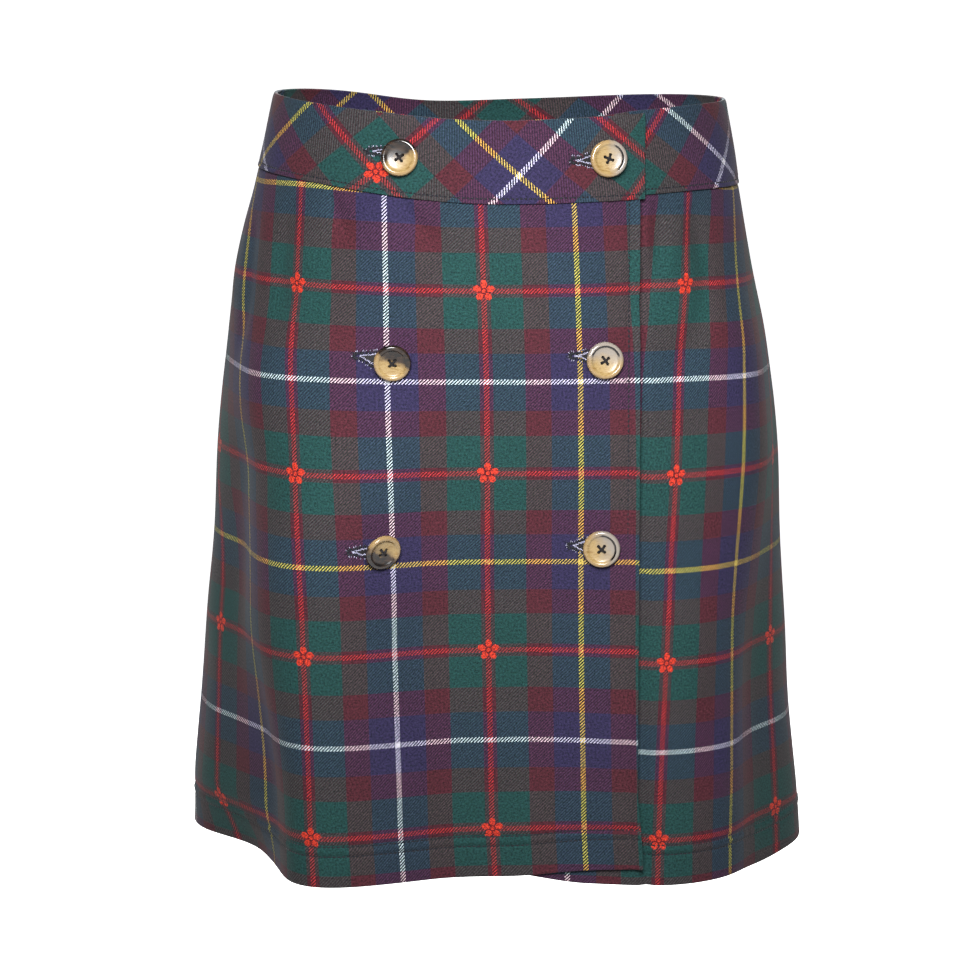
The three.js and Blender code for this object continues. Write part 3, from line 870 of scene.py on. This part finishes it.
def panelOffset(panel, bearing, z):
    # how far the cloth's outer face lies from the plain ring
    cut = panelCut
    perDegree = alongCloth(bearing + 0.5, z) - alongCloth(bearing - 0.5, z)
    fromStart = (bearing - panel["start"](z)) * perDegree
    fromEnd = (panel["end"](z) - bearing) * perDegree
    fromTop, fromHem = panel["top"](bearing) - z, z - panel["hem"](bearing)
    offset = panel["offset"](bearing) + relief(bearing, z)
    offset = offset - turnedIn(fromTop, cut) - seamTuck(panel, fromStart, fromEnd, cut)
    lowRow, highRow = cut["hemRows"]
    wave = alongCloth(bearing, z) / cut["puckerLength"] + cut["swing"] * np.sin(bearing / cut["swingLength"])
    pucker = cut["pucker"] * np.sin(wave) + cut["gather"] * np.sin(bearing * cut["gatherRate"])
    welt = hump(fromHem - (lowRow + highRow) / 2, (highRow - lowRow) / cut["weltShare"])
    offset = offset + (cut["welt"] + pucker) * welt
    for row in cut["hemRows"]:
        offset = offset - cut["groove"] * hump(fromHem - row, cut["grooveWidth"])
    if not panel["seamAtEnd"]:
        offset = offset - cut["wrapGroove"] * hump(fromEnd - cut["wrapRow"], cut["wrapGrooveWidth"])
        return offset + cut["wrapRoll"] * hump(fromEnd, cut["wrapRollWidth"])
    if not panel["seamAtStart"]:
        # the layer below sinks a little along the free edge that lies on it
        beyond = (bearing - panelEnd(z)) * perDegree - cut["hollowFrom"]
        offset = offset - cut["hollow"] * hump(beyond, cut["hollowWidth"])
    return offset


def panelPoint(panel, bearing, z):
    return clothPoint(bearing, z, panelOffset(panel, bearing, z))


def lappedBearings(piece, level, along, degrees):
    # bearings across a sheet whose sewn edges are cut a little past their seams
    start = piece["start"](level) - (degrees if piece["seamAtStart"] else 0)
    end = piece["end"](level) + (degrees if piece["seamAtEnd"] else 0)
    return start + (end - start) * along


def flatSize(points, z):
    # width of each row and height of each column of a finished sheet, and the largest of each in metres
    widths = np.hypot(*(np.diff(points, axis=1)[..., :2].transpose(2, 0, 1))).sum(axis=1)
    heights = z[-1] - z[0]
    return widths, heights, (float(widths.max()) * mm, float(heights.max()) * mm)


def makePanel(name, panel):
    cut, lap = panelCut, skirt["seamLap"] / 2
    depth = -skirt["hemLevel"] - skirt["bandHeight"]
    columns = edgeShares(panel["span"], cut["columnStep"], cut["fineEdge"])
    body = edgeShares(depth - cut["hemDepth"], cut["rowStep"], cut["fineEdge"], False)
    hemCount = int(round(cut["hemDepth"] / cut["hemRowStep"]))
    hem = np.linspace(1 - cut["hemDepth"] / depth, 1, hemCount + 1)[1:]
    rows = np.concatenate([body * (depth - cut["hemDepth"]) / depth, hem])[::-1]
    down, along = np.meshgrid(rows, columns, indexing="ij")
    level = -depth * down - skirt["bandHeight"]
    degrees = np.degrees(lap / np.hypot(*ringPoint(panel["start"](level), level)))
    bearing = lappedBearings(panel, level, along, degrees)
    z = (panel["top"](bearing) + lap) * (1 - down) + panel["hem"](bearing) * down
    points = panelPoint(panel, bearing, z)
    mesh = gridMesh(name, len(columns), len(rows), points, panel["cloth"](bearing, z))
    piece = newPiece(mesh, clothMaterial, "tartan_cloth", panel["node"])
    doubled = (z - panel["hem"](bearing)).ravel() <= cut["hemDepth"] + cut["hemEdge"]
    piece.vertex_groups.new(name="hem").add(np.nonzero(doubled)[0].tolist(), 1.0, "REPLACE")
    thicken(piece, cut["hemWall"], cut["rim"])
    widths, heights, flat = flatSize(points, z)
    panel["piece"], panel["flat"] = piece, flat
    panel["area"] = min(float(widths.mean() * heights.mean()) * mm * mm, flat[0] * flat[1])


for name, panel in panels.items():
    makePanel(name, panel)
    print(name, "made, cut", [round(side, 3) for side in panel["flat"]], "area", round(panel["area"], 4))


# Waistband, cut on the bias

middleOfBand = -25.0
bandRise = {"left": 10.0, "right": 3.0, "backDip": 2.0}
bands = {
    "band_over_cloth": {
        "node": "waistband_front_over", "span": 362.0,
        "start": atBearing(-skirt["sideSeam"]), "end": atX(skirt["bandWrapEdge"]), "lift": flush, "offset": proud,
        "turn": 47.0, "stretch": 1.07, "down": (2 * half, -98.0, 34.6), "up": (2 * half, -44.5, 43.5),
        "drawn": (-68.0, 1.18),
        "seamAtStart": True, "seamAtEnd": False,
    },
    "band_under_cloth": {
        "node": "waistband_front_under", "span": 330.0,
        "start": atX(skirt["hiddenEdge"]), "end": atBearing(skirt["sideSeam"]),
        "lift": liftAt, "offset": lambda b: insetAt(b, skirt["bandInset"], skirt["bandProud"]),
        "turn": 49.1, "stretch": 1.133, "down": (half, 135.0, 36.8), "up": (2 * half, 100.0, 39.6),
        "seamAtStart": False, "seamAtEnd": True,
    },
    "band_back_cloth": {
        "node": "waistband_back", "span": 390.0, "behind": True,
        "start": atBearing(skirt["sideSeam"]), "end": atBearing(360 - skirt["sideSeam"]),
        "lift": flush, "offset": proud,
        "turn": 41.7, "stretch": 1.22, "down": (2 * half, 16.0, 42.0), "up": (4 * half, -24.5, 41.0),
        "seamAtStart": True, "seamAtEnd": True,
    },
}
bandCut = {
    "columnStep": 2.0, "rowStep": 1.7, "fineEdge": (0.0, 0.5, 1.1, 1.8, 2.7, 3.6, 4.6), "wall": 2.1,
    "rim": 0.75, "stitchRow": 2.7, "groove": 0.5, "grooveWidth": 0.9, "roll": 0.5, "rollWidth": 1.6,
    "lap": 0.35, "radius": 150, "tuck": 1.1, "tuckWidth": 1.2, "perDegree": 2.35,
    "pucker": 0.1, "puckerLength": 0.95, "swingLength": 7.7, "puckerWidth": 2.2,
    "ripples": ((0.22, 11.3, 9.1, 0.0), (0.18, 17.9, -14.3, 2.2)),
}


def bandLevels(band, bearing):
    lifted = band["lift"](bearing)
    return waistSeam(bearing) + underLift["seam"] * lifted, bandTop(bearing) + underLift["top"] * lifted


def bandOffset(band, bearing, z):
    low, top = bandLevels(band, bearing)
    cut = bandCut
    fromRow = z - low - cut["stitchRow"]
    offset = band["offset"](bearing) - cut["groove"] * hump(fromRow, cut["grooveWidth"])
    offset = offset - cut["roll"] * hump(top - z, cut["rollWidth"])
    run = alongCloth(bearing, np.full(np.shape(z), middleOfBand))
    ripple = sum(size * np.sin(run / length + z / height + shift)
                 for size, length, height, shift in cut["ripples"])
    pucker = cut["pucker"] * np.sin(run / cut["puckerLength"] + np.sin(run / cut["swingLength"]))
    fromStart = (bearing - band["start"](z)) * cut["perDegree"]
    fromEnd = (band["end"](z) - bearing) * cut["perDegree"]
    offset = offset - seamTuck(band, fromStart, fromEnd, cut)
    return offset + atRestByButtons(ripple, bearing, z) + pucker * hump(fromRow, cut["puckerWidth"])


def bandPoint(band, bearing, z):
    return clothPoint(bearing, z, bandOffset(band, bearing, z))


def bandCloth(band, bearing, z):
    run = alongCloth(bearing, np.full(z.shape, middleOfBand))
    if "behind" in band:
        run = run - alongCloth(np.array(180.0), np.array(middleOfBand))
    if "drawn" in band:
        place, looser = band["drawn"]
        run = np.maximum(run, place) + np.minimum(run - place, 0) / looser
    height = z - edgeLevel(bearing, -skirt["bandHeight"], bandRise)
    turn = math.radians(band["turn"])
    (downMark, downRun, downHeight), (upMark, upRun, upHeight) = band["down"], band["up"]
    u = downMark + (run - downRun) / band["stretch"] * math.cos(turn) + (height - downHeight) * math.sin(turn)
    v = upMark - (run - upRun) / band["stretch"] * math.sin(turn) + (height - upHeight) * math.cos(turn)
    return np.stack([u, v], -1)


def makeBand(name, band):
    cut, lap = bandCut, skirt["seamLap"] / 2
    columns = edgeShares(band["span"], cut["columnStep"], panelCut["fineEdge"])
    rows = edgeShares(skirt["bandHeight"], cut["rowStep"], cut["fineEdge"])
    up, along = np.meshgrid(rows, columns, indexing="ij")
    level = -skirt["bandHeight"] * (1 - up)
    bearing = lappedBearings(band, level, along, math.degrees((lap + cut["lap"]) / cut["radius"]))
    low, top = bandLevels(band, bearing)
    z = (low - lap) * (1 - up) + top * up
    points = bandPoint(band, bearing, z)
    mesh = gridMesh(name, len(columns), len(rows), points, bandCloth(band, bearing, z))
    band["piece"] = newPiece(mesh, bandMaterial, "band_cloth", band["node"])
    band["flat"] = flatSize(points, z)[2]
    thicken(band["piece"], cut["wall"], cut["rim"])


for name, band in bands.items():
    makeBand(name, band)
    print(name, "made, cut", [round(side, 3) for side in band["flat"]])


# Buttons

buttonCut = {
    "radius": 11.4, "lift": 0.6, "foot": 0.76, "steps": 72, "finer": 4, "sharperThan": 40, "seatStep": 4.0,
    "holeRadius": 1.0, "holeOffset": 1.8, "holeSides": 20, "holeDepth": 14,
}
corners = ((1, 1), (-1, 1), (-1, -1), (1, -1))
# share of the radius, height
buttonProfile = [(0, 0), (0.4, 0), (0.76, 0), (0.9, 0.5), (0.97, 1.4), (1, 2.2), (0.985, 3.1), (0.94, 3.9),
                 (0.88, 4.2), (0.81, 4.2), (0.75, 3.9), (0.69, 3.35), (0.62, 3.0), (0.45, 2.65),
                 (0.2, 2.45), (0, 2.4)]


def throughPoints(points, finer):
    # a smooth curve through the points of a short profile
    points = np.array(points, dtype=float)
    padded = np.vstack([2 * points[0] - points[1], points, 2 * points[-1] - points[-2]])
    found = []
    for k in range(1, len(padded) - 2):
        before, a, b, after = padded[k - 1:k + 3]
        for share in np.arange(finer) / finer:
            bend = 2 * before - 5 * a + 4 * b - after
            curved = b - before + share * (bend + share * (3 * (a - b) + after - before))
            found.append(a + 0.5 * share * curved)
    return np.array(found + [points[-1]])


def makeButtonMesh():
    bm = bmesh.new()
    profile = throughPoints(buttonProfile, buttonCut["finer"]) * (buttonCut["radius"], 1.0)
    rim = [bm.verts.new((max(radius, 0.0), 0.0, height)) for radius, height in profile]
    edges = [bm.edges.new(pair) for pair in zip(rim, rim[1:])]
    bmesh.ops.spin(bm, geom=rim + edges, cent=(0, 0, 0), axis=(0, 0, 1), angle=math.tau,
                   steps=buttonCut["steps"], use_merge=True, use_duplicate=False)
    bmesh.ops.remove_doubles(bm, verts=bm.verts[:], dist=0.001)
    bmesh.ops.recalc_face_normals(bm, faces=bm.faces[:])
    mesh = bpy.data.meshes.new("button blank")
    bm.to_mesh(mesh)
    bm.free()
    drills = bmesh.new()
    for x, y in corners:
        place = Matrix.Translation((x * buttonCut["holeOffset"], y * buttonCut["holeOffset"], 0))
        bmesh.ops.create_cone(drills, cap_ends=True, segments=buttonCut["holeSides"],
                              radius1=buttonCut["holeRadius"], radius2=buttonCut["holeRadius"],
                              depth=buttonCut["holeDepth"], matrix=place)
    drillMesh = bpy.data.meshes.new("drills")
    drills.to_mesh(drillMesh)
    drills.free()
    blank, drill = bpy.data.objects.new("blank", mesh), bpy.data.objects.new("drill", drillMesh)
    for helper in (blank, drill):
        bpy.context.scene.collection.objects.link(helper)
    cut = blank.modifiers.new("holes", "BOOLEAN")
    cut.operation, cut.solver, cut.object = "DIFFERENCE", "EXACT", drill
    drilled = bpy.data.meshes.new_from_object(blank.evaluated_get(bpy.context.evaluated_depsgraph_get()))
    for helper in (blank, drill):
        bpy.data.objects.remove(helper)
    return drilled


def frameOn(place, bearing, z, step=1.2):
    # right, up and outward directions of a surface at one point
    def at(turn, rise):
        return Vector(place(np.array(bearing + turn), np.array(z + rise)).tolist())
    right = (at(step, 0) - at(-step, 0)).normalized()
    up = (at(0, step) - at(0, -step)).normalized()
    out = right.cross(up).normalized()
    return at(0, 0), right, out.cross(right), out


def buttonSeat(button):
    outside = skirt["bandProud"] if button["onBand"] else 0.0
    point, right, up, out = frameOn(lambda b, z: clothPoint(b, z, outside), button["bearing"], button["z"],
                                    buttonCut["seatStep"])
    hinge = right * button["hinge"][0] + up * button["hinge"][1]
    lean = Matrix.Rotation(button["lean"], 3, hinge if hinge.length else right)
    seat = Matrix.Translation(point + out * (buttonCut["lift"] + leanLift(button)))
    return seat @ Matrix((lean @ right, lean @ up, lean @ out)).transposed().to_4x4()


def leanLift(button):
    # a leaning button stands on one edge of its foot
    return buttonCut["foot"] * buttonCut["radius"] * math.sin(button["lean"])


drilledButton = makeButtonMesh()
for name, button in buttons.items():
    mesh = drilledButton.copy()
    mesh.name = name + "_horn"
    face, mottle = mesh.uv_layers.new(name="face"), mesh.uv_layers.new(name="mottle")
    turn = math.radians(button["patchTurn"] - button["crossTurn"])
    for loop in mesh.loops:
        x, y, z = mesh.vertices[loop.vertex_index].co / buttonCut["radius"]
        towards, aside = x * math.cos(turn) + y * math.sin(turn), y * math.cos(turn) - x * math.sin(turn)
        face.data[loop.index].uv = (towards, aside)
        mottle.data[loop.index].uv = (button["patch"], button["ringed"])
    seat = buttonSeat(button) @ Matrix.Rotation(math.radians(button["crossTurn"]), 4, "Z")
    button["seat"] = seat
    mesh.transform(Matrix.Scale(mm, 4) @ seat)
    mesh.shade_smooth()
    mesh.set_sharp_from_angle(angle=math.radians(buttonCut["sharperThan"]))
    newPiece(mesh, hornMaterial, "horn_look", name)
print("buttons made")


# Sewing: one small stitch, laid many times

def stitchTemplate(around, along):
    bm = bmesh.new()
    bmesh.ops.create_uvsphere(bm, u_segments=around, v_segments=along, radius=0.5)
    bmesh.ops.rotate(bm, verts=bm.verts[:], matrix=Matrix.Rotation(math.pi / 2, 3, "Y"))
    bmesh.ops.triangulate(bm, faces=bm.faces[:])
    bm.verts.index_update()
    points = np.array([v.co for v in bm.verts])
    faces = np.array([[v.index for v in f.verts] for f in bm.faces])
    bm.free()
    return points, faces


stitch = stitchTemplate(6, 5)


def layStitches(name, centres, alongs, outs, length, width, height, material):
    # copies of the stitch, each lying along its own direction with its own face outwards
    points, faces = stitch
    centres, alongs, outs = (np.asarray(a, dtype=float).reshape(-1, 3) for a in (centres, alongs, outs))
    alongs = alongs / np.linalg.norm(alongs, axis=1, keepdims=True)
    sides = np.cross(outs, alongs)
    sides /= np.linalg.norm(sides, axis=1, keepdims=True)
    outs = np.cross(alongs, sides)
    sizes = [np.broadcast_to(np.asarray(size, dtype=float), (len(centres),))[:, None, None]
             for size in (length, width, height)]
    body = sum(points[None, :, k:k + 1] * sizes[k] * way[:, None]
               for k, way in enumerate((alongs, sides, outs))) + centres[:, None]
    index = (faces[None] + (np.arange(len(centres)) * len(points))[:, None, None]).reshape(-1, 3)
    mesh = bpy.data.meshes.new(name)
    mesh.from_pydata((body.reshape(-1, 3) * mm).tolist(), [], index.tolist())
    mesh.shade_smooth()
    mesh.update()
    return newPiece(mesh, material, "sewing_thread")


def directionsOn(place, bearing, z, alongBearing, alongZ, lift):
    # stitch centres, directions and outward normals on a surface, for arrays of places
    step = 0.25
    right = place(bearing + step, z) - place(bearing - step, z)
    up = place(bearing, z + step) - place(bearing, z - step)
    out = np.cross(right, up)
    out /= np.linalg.norm(out, axis=-1, keepdims=True)
    ahead = place(bearing + alongBearing, z + alongZ) - place(bearing - alongBearing, z - alongZ)
    return place(bearing, z) + out * lift, ahead, out


thread = {
    "width": 1.2, "height": 0.6, "lift": 0.1, "step": 0.3, "hemPitch": 3.0, "hemLength": 2.5,
    "hemClear": 0.3, "bandPitch": 2.7, "bandLength": 2.1, "bandClear": 0.6,
    "wrapPitch": 3.0, "wrapLength": 2.4, "wrapStep": 0.4, "wrapFrom": 2.5, "wrapTo": 2.0,
}


def layRows(name, rows, length):
    centres, alongs, outs = (np.concatenate(part) for part in zip(*rows))
    return layStitches(name, centres, alongs, outs, length, thread["width"], thread["height"],
                       threadMaterial)


def levelRow(piece, place, level, seam, clear, pitch):
    # places for stitches along a level line of a sheet, from one end to the other
    low, step = np.array(float(seam)), thread["step"]
    start, end = float(piece["start"](low)) + clear, float(piece["end"](low)) - clear
    bearing = evenBearings(start, end, level, pitch)
    slope = (level(bearing + step) - level(bearing - step)) / 2
    return directionsOn(place, bearing, level(bearing), step, slope, thread["lift"])


def hemStitches(name, panel):
    rows = [levelRow(panel, lambda b, h: panelPoint(panel, b, h), lambda b: panel["hem"](b) + row,
                     skirt["hemLevel"] + row, thread["hemClear"], thread["hemPitch"])
            for row in panelCut["hemRows"]]
    return layRows(name, rows, thread["hemLength"])


def bandStitches(name, band):
    def level(b):
        return bandLevels(band, b)[0] + bandCut["stitchRow"]
    row = levelRow(band, lambda b, h: bandPoint(band, b, h), level, -skirt["bandHeight"],
                   thread["bandClear"], thread["bandPitch"])
    return layRows(name, [row], thread["bandLength"])


def wrapStitches(name, panel):
    top = -skirt["bandHeight"] - thread["wrapFrom"]
    bottom = skirt["hemLevel"] + overHitch["height"] + thread["wrapTo"]
    z = np.arange(top, bottom, -thread["wrapPitch"])
    edge = panel["end"](z)
    bearing = edge - panelCut["wrapRow"] / (alongCloth(edge, z) - alongCloth(edge - 1.0, z))
    row = directionsOn(lambda b, h: panelPoint(panel, b, h), bearing, z, 0.0, thread["wrapStep"],
                       thread["lift"])
    return layRows(name, [row], thread["wrapLength"])


for name, panel in panels.items():
    panel["hemRows"] = hemStitches("hem_stitches_" + name.split("_")[0], panel)
for name, band in bands.items():
    band["stitches"] = bandStitches("band_stitches_" + name.split("_")[1], band)
panels["over_panel_cloth"]["wrapRow"] = wrapStitches("wrap_edge_stitches", panels["over_panel_cloth"])
print("stitch rows laid")


# Buttonholes: a slit that opens like a wedge towards its button, with pale cord along both lips, edged with
# close navy stitches that fan out round the left end

buttonhole = {
    "hidden": 9.0, "closesFrom": 2, "lip": 0.3, "bar": 2.3, "barWidth": 0.62, "barHeight": 0.75,
    "pitch": 0.5, "fan": 12, "sway": 0.14, "lift": 0.14, "step": 0.2, "cordPitch": 0.36,
    "cordWander": 0.24, "cordSway": 0.3, "cordStep": 0.3, "cordWidth": 0.46, "cordLift": 0.24,
    "cordBeyond": 4, "speckled": 0.3, "strays": 5, "strayWidth": 0.28, "strayReach": 1.25,
    "slitLift": 0.12, "slitColumns": 25, "slitRows": 5,
    "barSizes": (0.8, 1.2), "strayTurns": (1.7, 4.2), "strayLengths": (2.2, 3.6), "cordSizes": (0.85, 1.3),
}


def lipOf(button, along, side):
    # a place on the upper (1) or lower (-1) lip, to the right of and above the button's middle
    cut = buttonhole
    shown, rise, fall, cordFrom, opensFrom, width = button["hole"]
    opened = width / 2 * np.clip((along - opensFrom) / (shown - opensFrom), 0, 1.15)
    opened = opened * (1 - rising(along - shown, cut["closesFrom"], cut["hidden"] - cut["closesFrom"]))
    middle = rise - fall * np.maximum(along - opensFrom, 0)
    return np.stack([along - shown - buttonCut["radius"], middle + side * (cut["lip"] + opened)], -1)


def lipWay(button, along, side, step):
    return lipOf(button, along + step, side) - lipOf(button, along - step, side)


def roundWays(turns):
    return np.stack([np.cos(turns), np.sin(turns)], -1)


def buttonholeFor(name, button):
    garment = bands["band_over_cloth"] if button["onBand"] else panels["over_panel_cloth"]
    point = bandPoint if button["onBand"] else panelPoint
    cut = buttonhole
    shown, cordFrom, opensFrom = (button["hole"][k] for k in (0, 3, 4))

    def place(b, h):
        return point(garment, b, h)

    def lay(part, spots, ways, lift, lengths, widths, height, material):
        centres, outs = ontoCloth(place, button, spots)
        laid = ways[:, 0:1] * right + ways[:, 1:2] * up
        layStitches(name + part, centres + outs * lift, laid, outs, lengths, widths, height, material)

    right, up = (np.array(v) for v in frameOn(place, button["bearing"], button["z"])[1:3])
    rng = np.random.default_rng(int(abs(button["x"]) * 7 + abs(button["z"])))
    runs = np.arange(cut["bar"] + 0.5, shown + cut["hidden"], cut["pitch"])
    cordRuns = np.arange(cordFrom, shown + cut["cordBeyond"], cut["cordPitch"])
    spots, ways, corded, cordWays = [], [], [], []
    for side in (1, -1):
        ahead = lipWay(button, runs, side, cut["step"])
        outwards = side * np.stack([-ahead[:, 1], ahead[:, 0]], -1)
        outwards /= np.linalg.norm(ahead, axis=1, keepdims=True)
        outwards[:, 0] += rng.normal(0, cut["sway"], len(runs))
        spots.append(lipOf(button, runs, side) + outwards * (cut["bar"] / 2 + 0.15))
        ways.append(outwards)
        corded.append(lipOf(button, cordRuns, side) + rng.normal(0, cut["cordWander"], (len(cordRuns), 2)))
        way = lipWay(button, cordRuns, side, cut["cordStep"])
        way[:, 1] += rng.normal(0, cut["cordSway"], len(cordRuns))
        cordWays.append(way)
    eye = lipOf(button, runs[0], 1) - (0, cut["lip"])
    fan = roundWays(np.linspace(math.pi / 2, 3 * math.pi / 2, cut["fan"]))
    spots = np.concatenate(spots + [eye + fan * (cut["lip"] + cut["bar"] / 2)])
    ways = np.concatenate(ways + [fan])
    lengths = cut["bar"] * rng.uniform(*cut["barSizes"], len(spots))
    tips = rng.random(len(spots)) < cut["speckled"]
    corded = np.concatenate(corded + [(spots + ways * lengths[:, None] / 2)[tips]])
    cordWays = np.concatenate(cordWays + [ways[tips]])
    strayWays = roundWays(rng.uniform(*cut["strayTurns"], cut["strays"]))
    widths = np.repeat((cut["barWidth"], cut["strayWidth"]), (len(spots), cut["strays"]))
    spots = np.concatenate([spots, eye + strayWays * cut["bar"] * cut["strayReach"]])
    ways = np.concatenate([ways, strayWays])
    lengths = np.concatenate([lengths, rng.uniform(*cut["strayLengths"], cut["strays"])])
    lay("_hole_edge", spots, ways, cut["lift"], lengths, widths, cut["barHeight"], threadMaterial)
    sizes = rng.uniform(*cut["cordSizes"], len(corded))
    lay("_hole_cord", corded, cordWays, cut["cordLift"], sizes, cut["cordWidth"], cut["cordWidth"],
        cordMaterial)
    # the open slit gets a dark sheet of painted shade instead of a hole in the cloth
    ends = opensFrom - 0.6, shown + cut["hidden"] - 1
    makeSlitShade(name + "_hole_painted_shade", button, place, np.linspace(*ends, cut["slitColumns"]))


def makeSlitShade(name, button, place, runs):
    # a dark sheet of painted shade, laid just above the cloth between the lips where the slit opens
    low, high = lipOf(button, runs, -1), lipOf(button, runs, 1)
    share = np.linspace(0, 1, buttonhole["slitRows"])[:, None, None]
    centres, outs = ontoCloth(place, button, (low[None] * (1 - share) + high[None] * share).reshape(-1, 2))
    mesh = gridMesh(name, len(runs), buttonhole["slitRows"], centres + outs * buttonhole["slitLift"])
    newPiece(mesh, shadeMaterial, "sewing_thread")


def ontoCloth(place, button, spots):
    # places given to the right of and above a button's middle, carried onto the cloth
    bearing, z = button["bearing"], button["z"]
    perDegree = np.linalg.norm(place(np.array(bearing + 0.5), np.array(z))
                               - place(np.array(bearing - 0.5), np.array(z)))
    b, h = bearing + spots[:, 0] / perDegree, z + spots[:, 1]
    centres, ahead, outs = directionsOn(place, b, h, 0.25, 0.0, 0.0)
    return centres, outs


def tubeMesh(name, paths, radius, around=8):
    # soft strands, each a sheet rolled up round its path, with closed ends
    joined = bmesh.new()
    for path in paths:
        path = throughPoints(path, buttonCut["finer"])
        bm = bmesh.new()
        bmesh.ops.create_grid(bm, x_segments=around, y_segments=len(path) - 1, size=0.5)
        ahead = np.gradient(path, axis=0)
        ahead /= np.linalg.norm(ahead, axis=1, keepdims=True)
        side = np.cross(ahead, (0.0, 0.02, 1.0))
        side /= np.linalg.norm(side, axis=1, keepdims=True)
        rise = np.cross(side, ahead)
        thick = radius * np.minimum(1.0, np.sin(np.linspace(0.0, math.pi, len(path))) * 3.0)
        for v in bm.verts:
            column, row = round((v.co.x + 0.5) * around), round((v.co.y + 0.5) * (len(path) - 1))
            turn = math.tau * column / around
            v.co = path[row] + thick[row] * (math.cos(turn) * side[row] + math.sin(turn) * rise[row])
        bmesh.ops.remove_doubles(bm, verts=bm.verts[:], dist=0.002)
        bmesh.ops.recalc_face_normals(bm, faces=bm.faces[:])
        part = bpy.data.meshes.new("strand")
        bm.to_mesh(part)
        bm.free()
        joined.from_mesh(part)
        bpy.data.meshes.remove(part)
    mesh = bpy.data.meshes.new(name)
    joined.to_mesh(mesh)
    joined.free()
    mesh.shade_smooth()
    return mesh


cross = {
    "radius": 0.42, "dip": 0.6, "edge": 2.3, "over": 3.35, "slope": 0.1, "second": 0.45, "spread": 0.34,
    "splay": 0.7, "shank": 0.8, "below": 1.2,
}


def buttonThreads(name, button):
    # two doubled threads that cross in the dish, and the shank below that holds the button to the cloth
    paths = []
    hole, over = buttonCut["holeOffset"], cross["over"]
    for sx, sy, extra in ((1, 1, 0.0), (1, -1, cross["second"])):
        near = [(1, cross["dip"]), (0.93, cross["edge"]), (0.5, over - cross["slope"] + extra * 0.7)]
        arch = [(-share, z) for share, z in near] + [(0, over + extra)] + near[::-1]
        for aside in (-cross["spread"], cross["spread"]):
            dx, dy = -sy * aside * cross["splay"], sx * aside * cross["splay"]
            paths.append([(share * hole * sx + dx, share * hole * sy + dy, z) for share, z in arch])
    down = leanLift(button) + cross["below"]
    for sx, sy in corners:
        x, y = hole * sx * cross["shank"], hole * sy * cross["shank"]
        paths.append([(x, y, 0.9), (x, y, 0.2), (x * 0.9, y * 0.9, -down / 3), (x * 0.8, y * 0.8, -down)])
    mesh = tubeMesh(name + "_thread", paths, cross["radius"])
    mesh.transform(Matrix.Scale(mm, 4) @ button["seat"])
    newPiece(mesh, darkThreadMaterial, "sewing_thread")


for name, button in buttons.items():
    buttonholeFor(name, button)
    buttonThreads(name, button)
print("buttonholes and button threads made")


# Stage, light and camera

stage = {"floorLevel": -1.05, "front": -7.0, "turnsUpAt": 3.2, "bend": 2.2, "height": 4.5, "halfWidth": 8.0,
         "glow": 1.0, "ambient": 0.11}


def makeBackdrop():
    columns, rows = 13, 61
    across, along = np.meshgrid(np.linspace(-1, 1, columns), np.linspace(0, 1, rows))
    flat = stage["turnsUpAt"] - stage["front"]
    arc = stage["bend"] * math.pi / 2
    run = along * (flat + arc + stage["height"])
    turn = np.clip((run - flat) / stage["bend"], 0, math.pi / 2)
    y = stage["front"] + np.minimum(run, flat) + stage["bend"] * np.sin(turn)
    z = stage["floorLevel"] + stage["bend"] * (1 - np.cos(turn)) + np.maximum(run - flat - arc, 0)
    mesh = gridMesh("backdrop", columns, rows, np.stack([across * stage["halfWidth"], y, z], -1) / mm)
    mesh.materials.append(makeFloorMaterial())
    backdrop = bpy.data.objects.new("backdrop", mesh)
    backdrop.visible_diffuse = False
    bpy.context.scene.collection.objects.link(backdrop)


softboxes = {
    "key softbox": {
        "place": (-0.06, -1.3, 0.46), "aim": (0.01, 0.0, -0.17), "size": 0.5, "power": 4.7, "spread": 62,
    },
    "fill softbox": {
        "place": (0.7, -2.1, -0.05), "aim": (0.0, 0.0, -0.2), "size": 0.9, "power": 2.4, "spread": 180,
    },
    "back softbox": {
        "place": (0.0, 2.4, 0.8), "aim": (0.0, 0.0, -0.2), "size": 1.0, "power": 75.0, "spread": 180,
    },
}


def addSoftLight(name, place, aim, size, power, spread):
    light = bpy.data.lights.new(name, "AREA")
    light.shape, light.size, light.size_y = "RECTANGLE", size, size
    light.energy, light.spread = power, math.radians(spread)
    lamp = bpy.data.objects.new(name, light)
    lamp.location = place
    lamp.rotation_euler = (Vector(aim) - Vector(place)).to_track_quat("-Z", "Y").to_euler()
    bpy.context.scene.collection.objects.link(lamp)


makeBackdrop()
for name, box in softboxes.items():
    addSoftLight(name, **box)
world = bpy.data.worlds.new("studio")
world.use_nodes = True
world.node_tree.nodes["Background"].inputs["Color"].default_value = (1.0, 1.0, 1.0, 1.0)
sky = Nodes(world.node_tree)
seen = sky.add("ShaderNodeLightPath").outputs["Is Camera Ray"]
sky.put(world.node_tree.nodes["Background"].inputs["Strength"],
        sky.span(seen, 0.0, 1.0, stage["ambient"], 1.0))
bpy.context.scene.world = world
bpy.context.scene.view_settings.view_transform = "Standard"

camera = {"place": (-0.01135, -2.4, 0.2), "pitch": 10.37, "lens": 142.7, "sensor": 36.0}
cameraData = bpy.data.cameras.new("camera")
cameraData.lens, cameraData.sensor_width = camera["lens"], camera["sensor"]
cameraObject = bpy.data.objects.new("camera", cameraData)
cameraObject.location = camera["place"]
cameraObject.rotation_euler = (math.radians(90 - camera["pitch"]), 0.0, 0.0)
bpy.context.scene.collection.objects.link(cameraObject)
bpy.context.scene.camera = cameraObject
print("stage, lights and camera set")
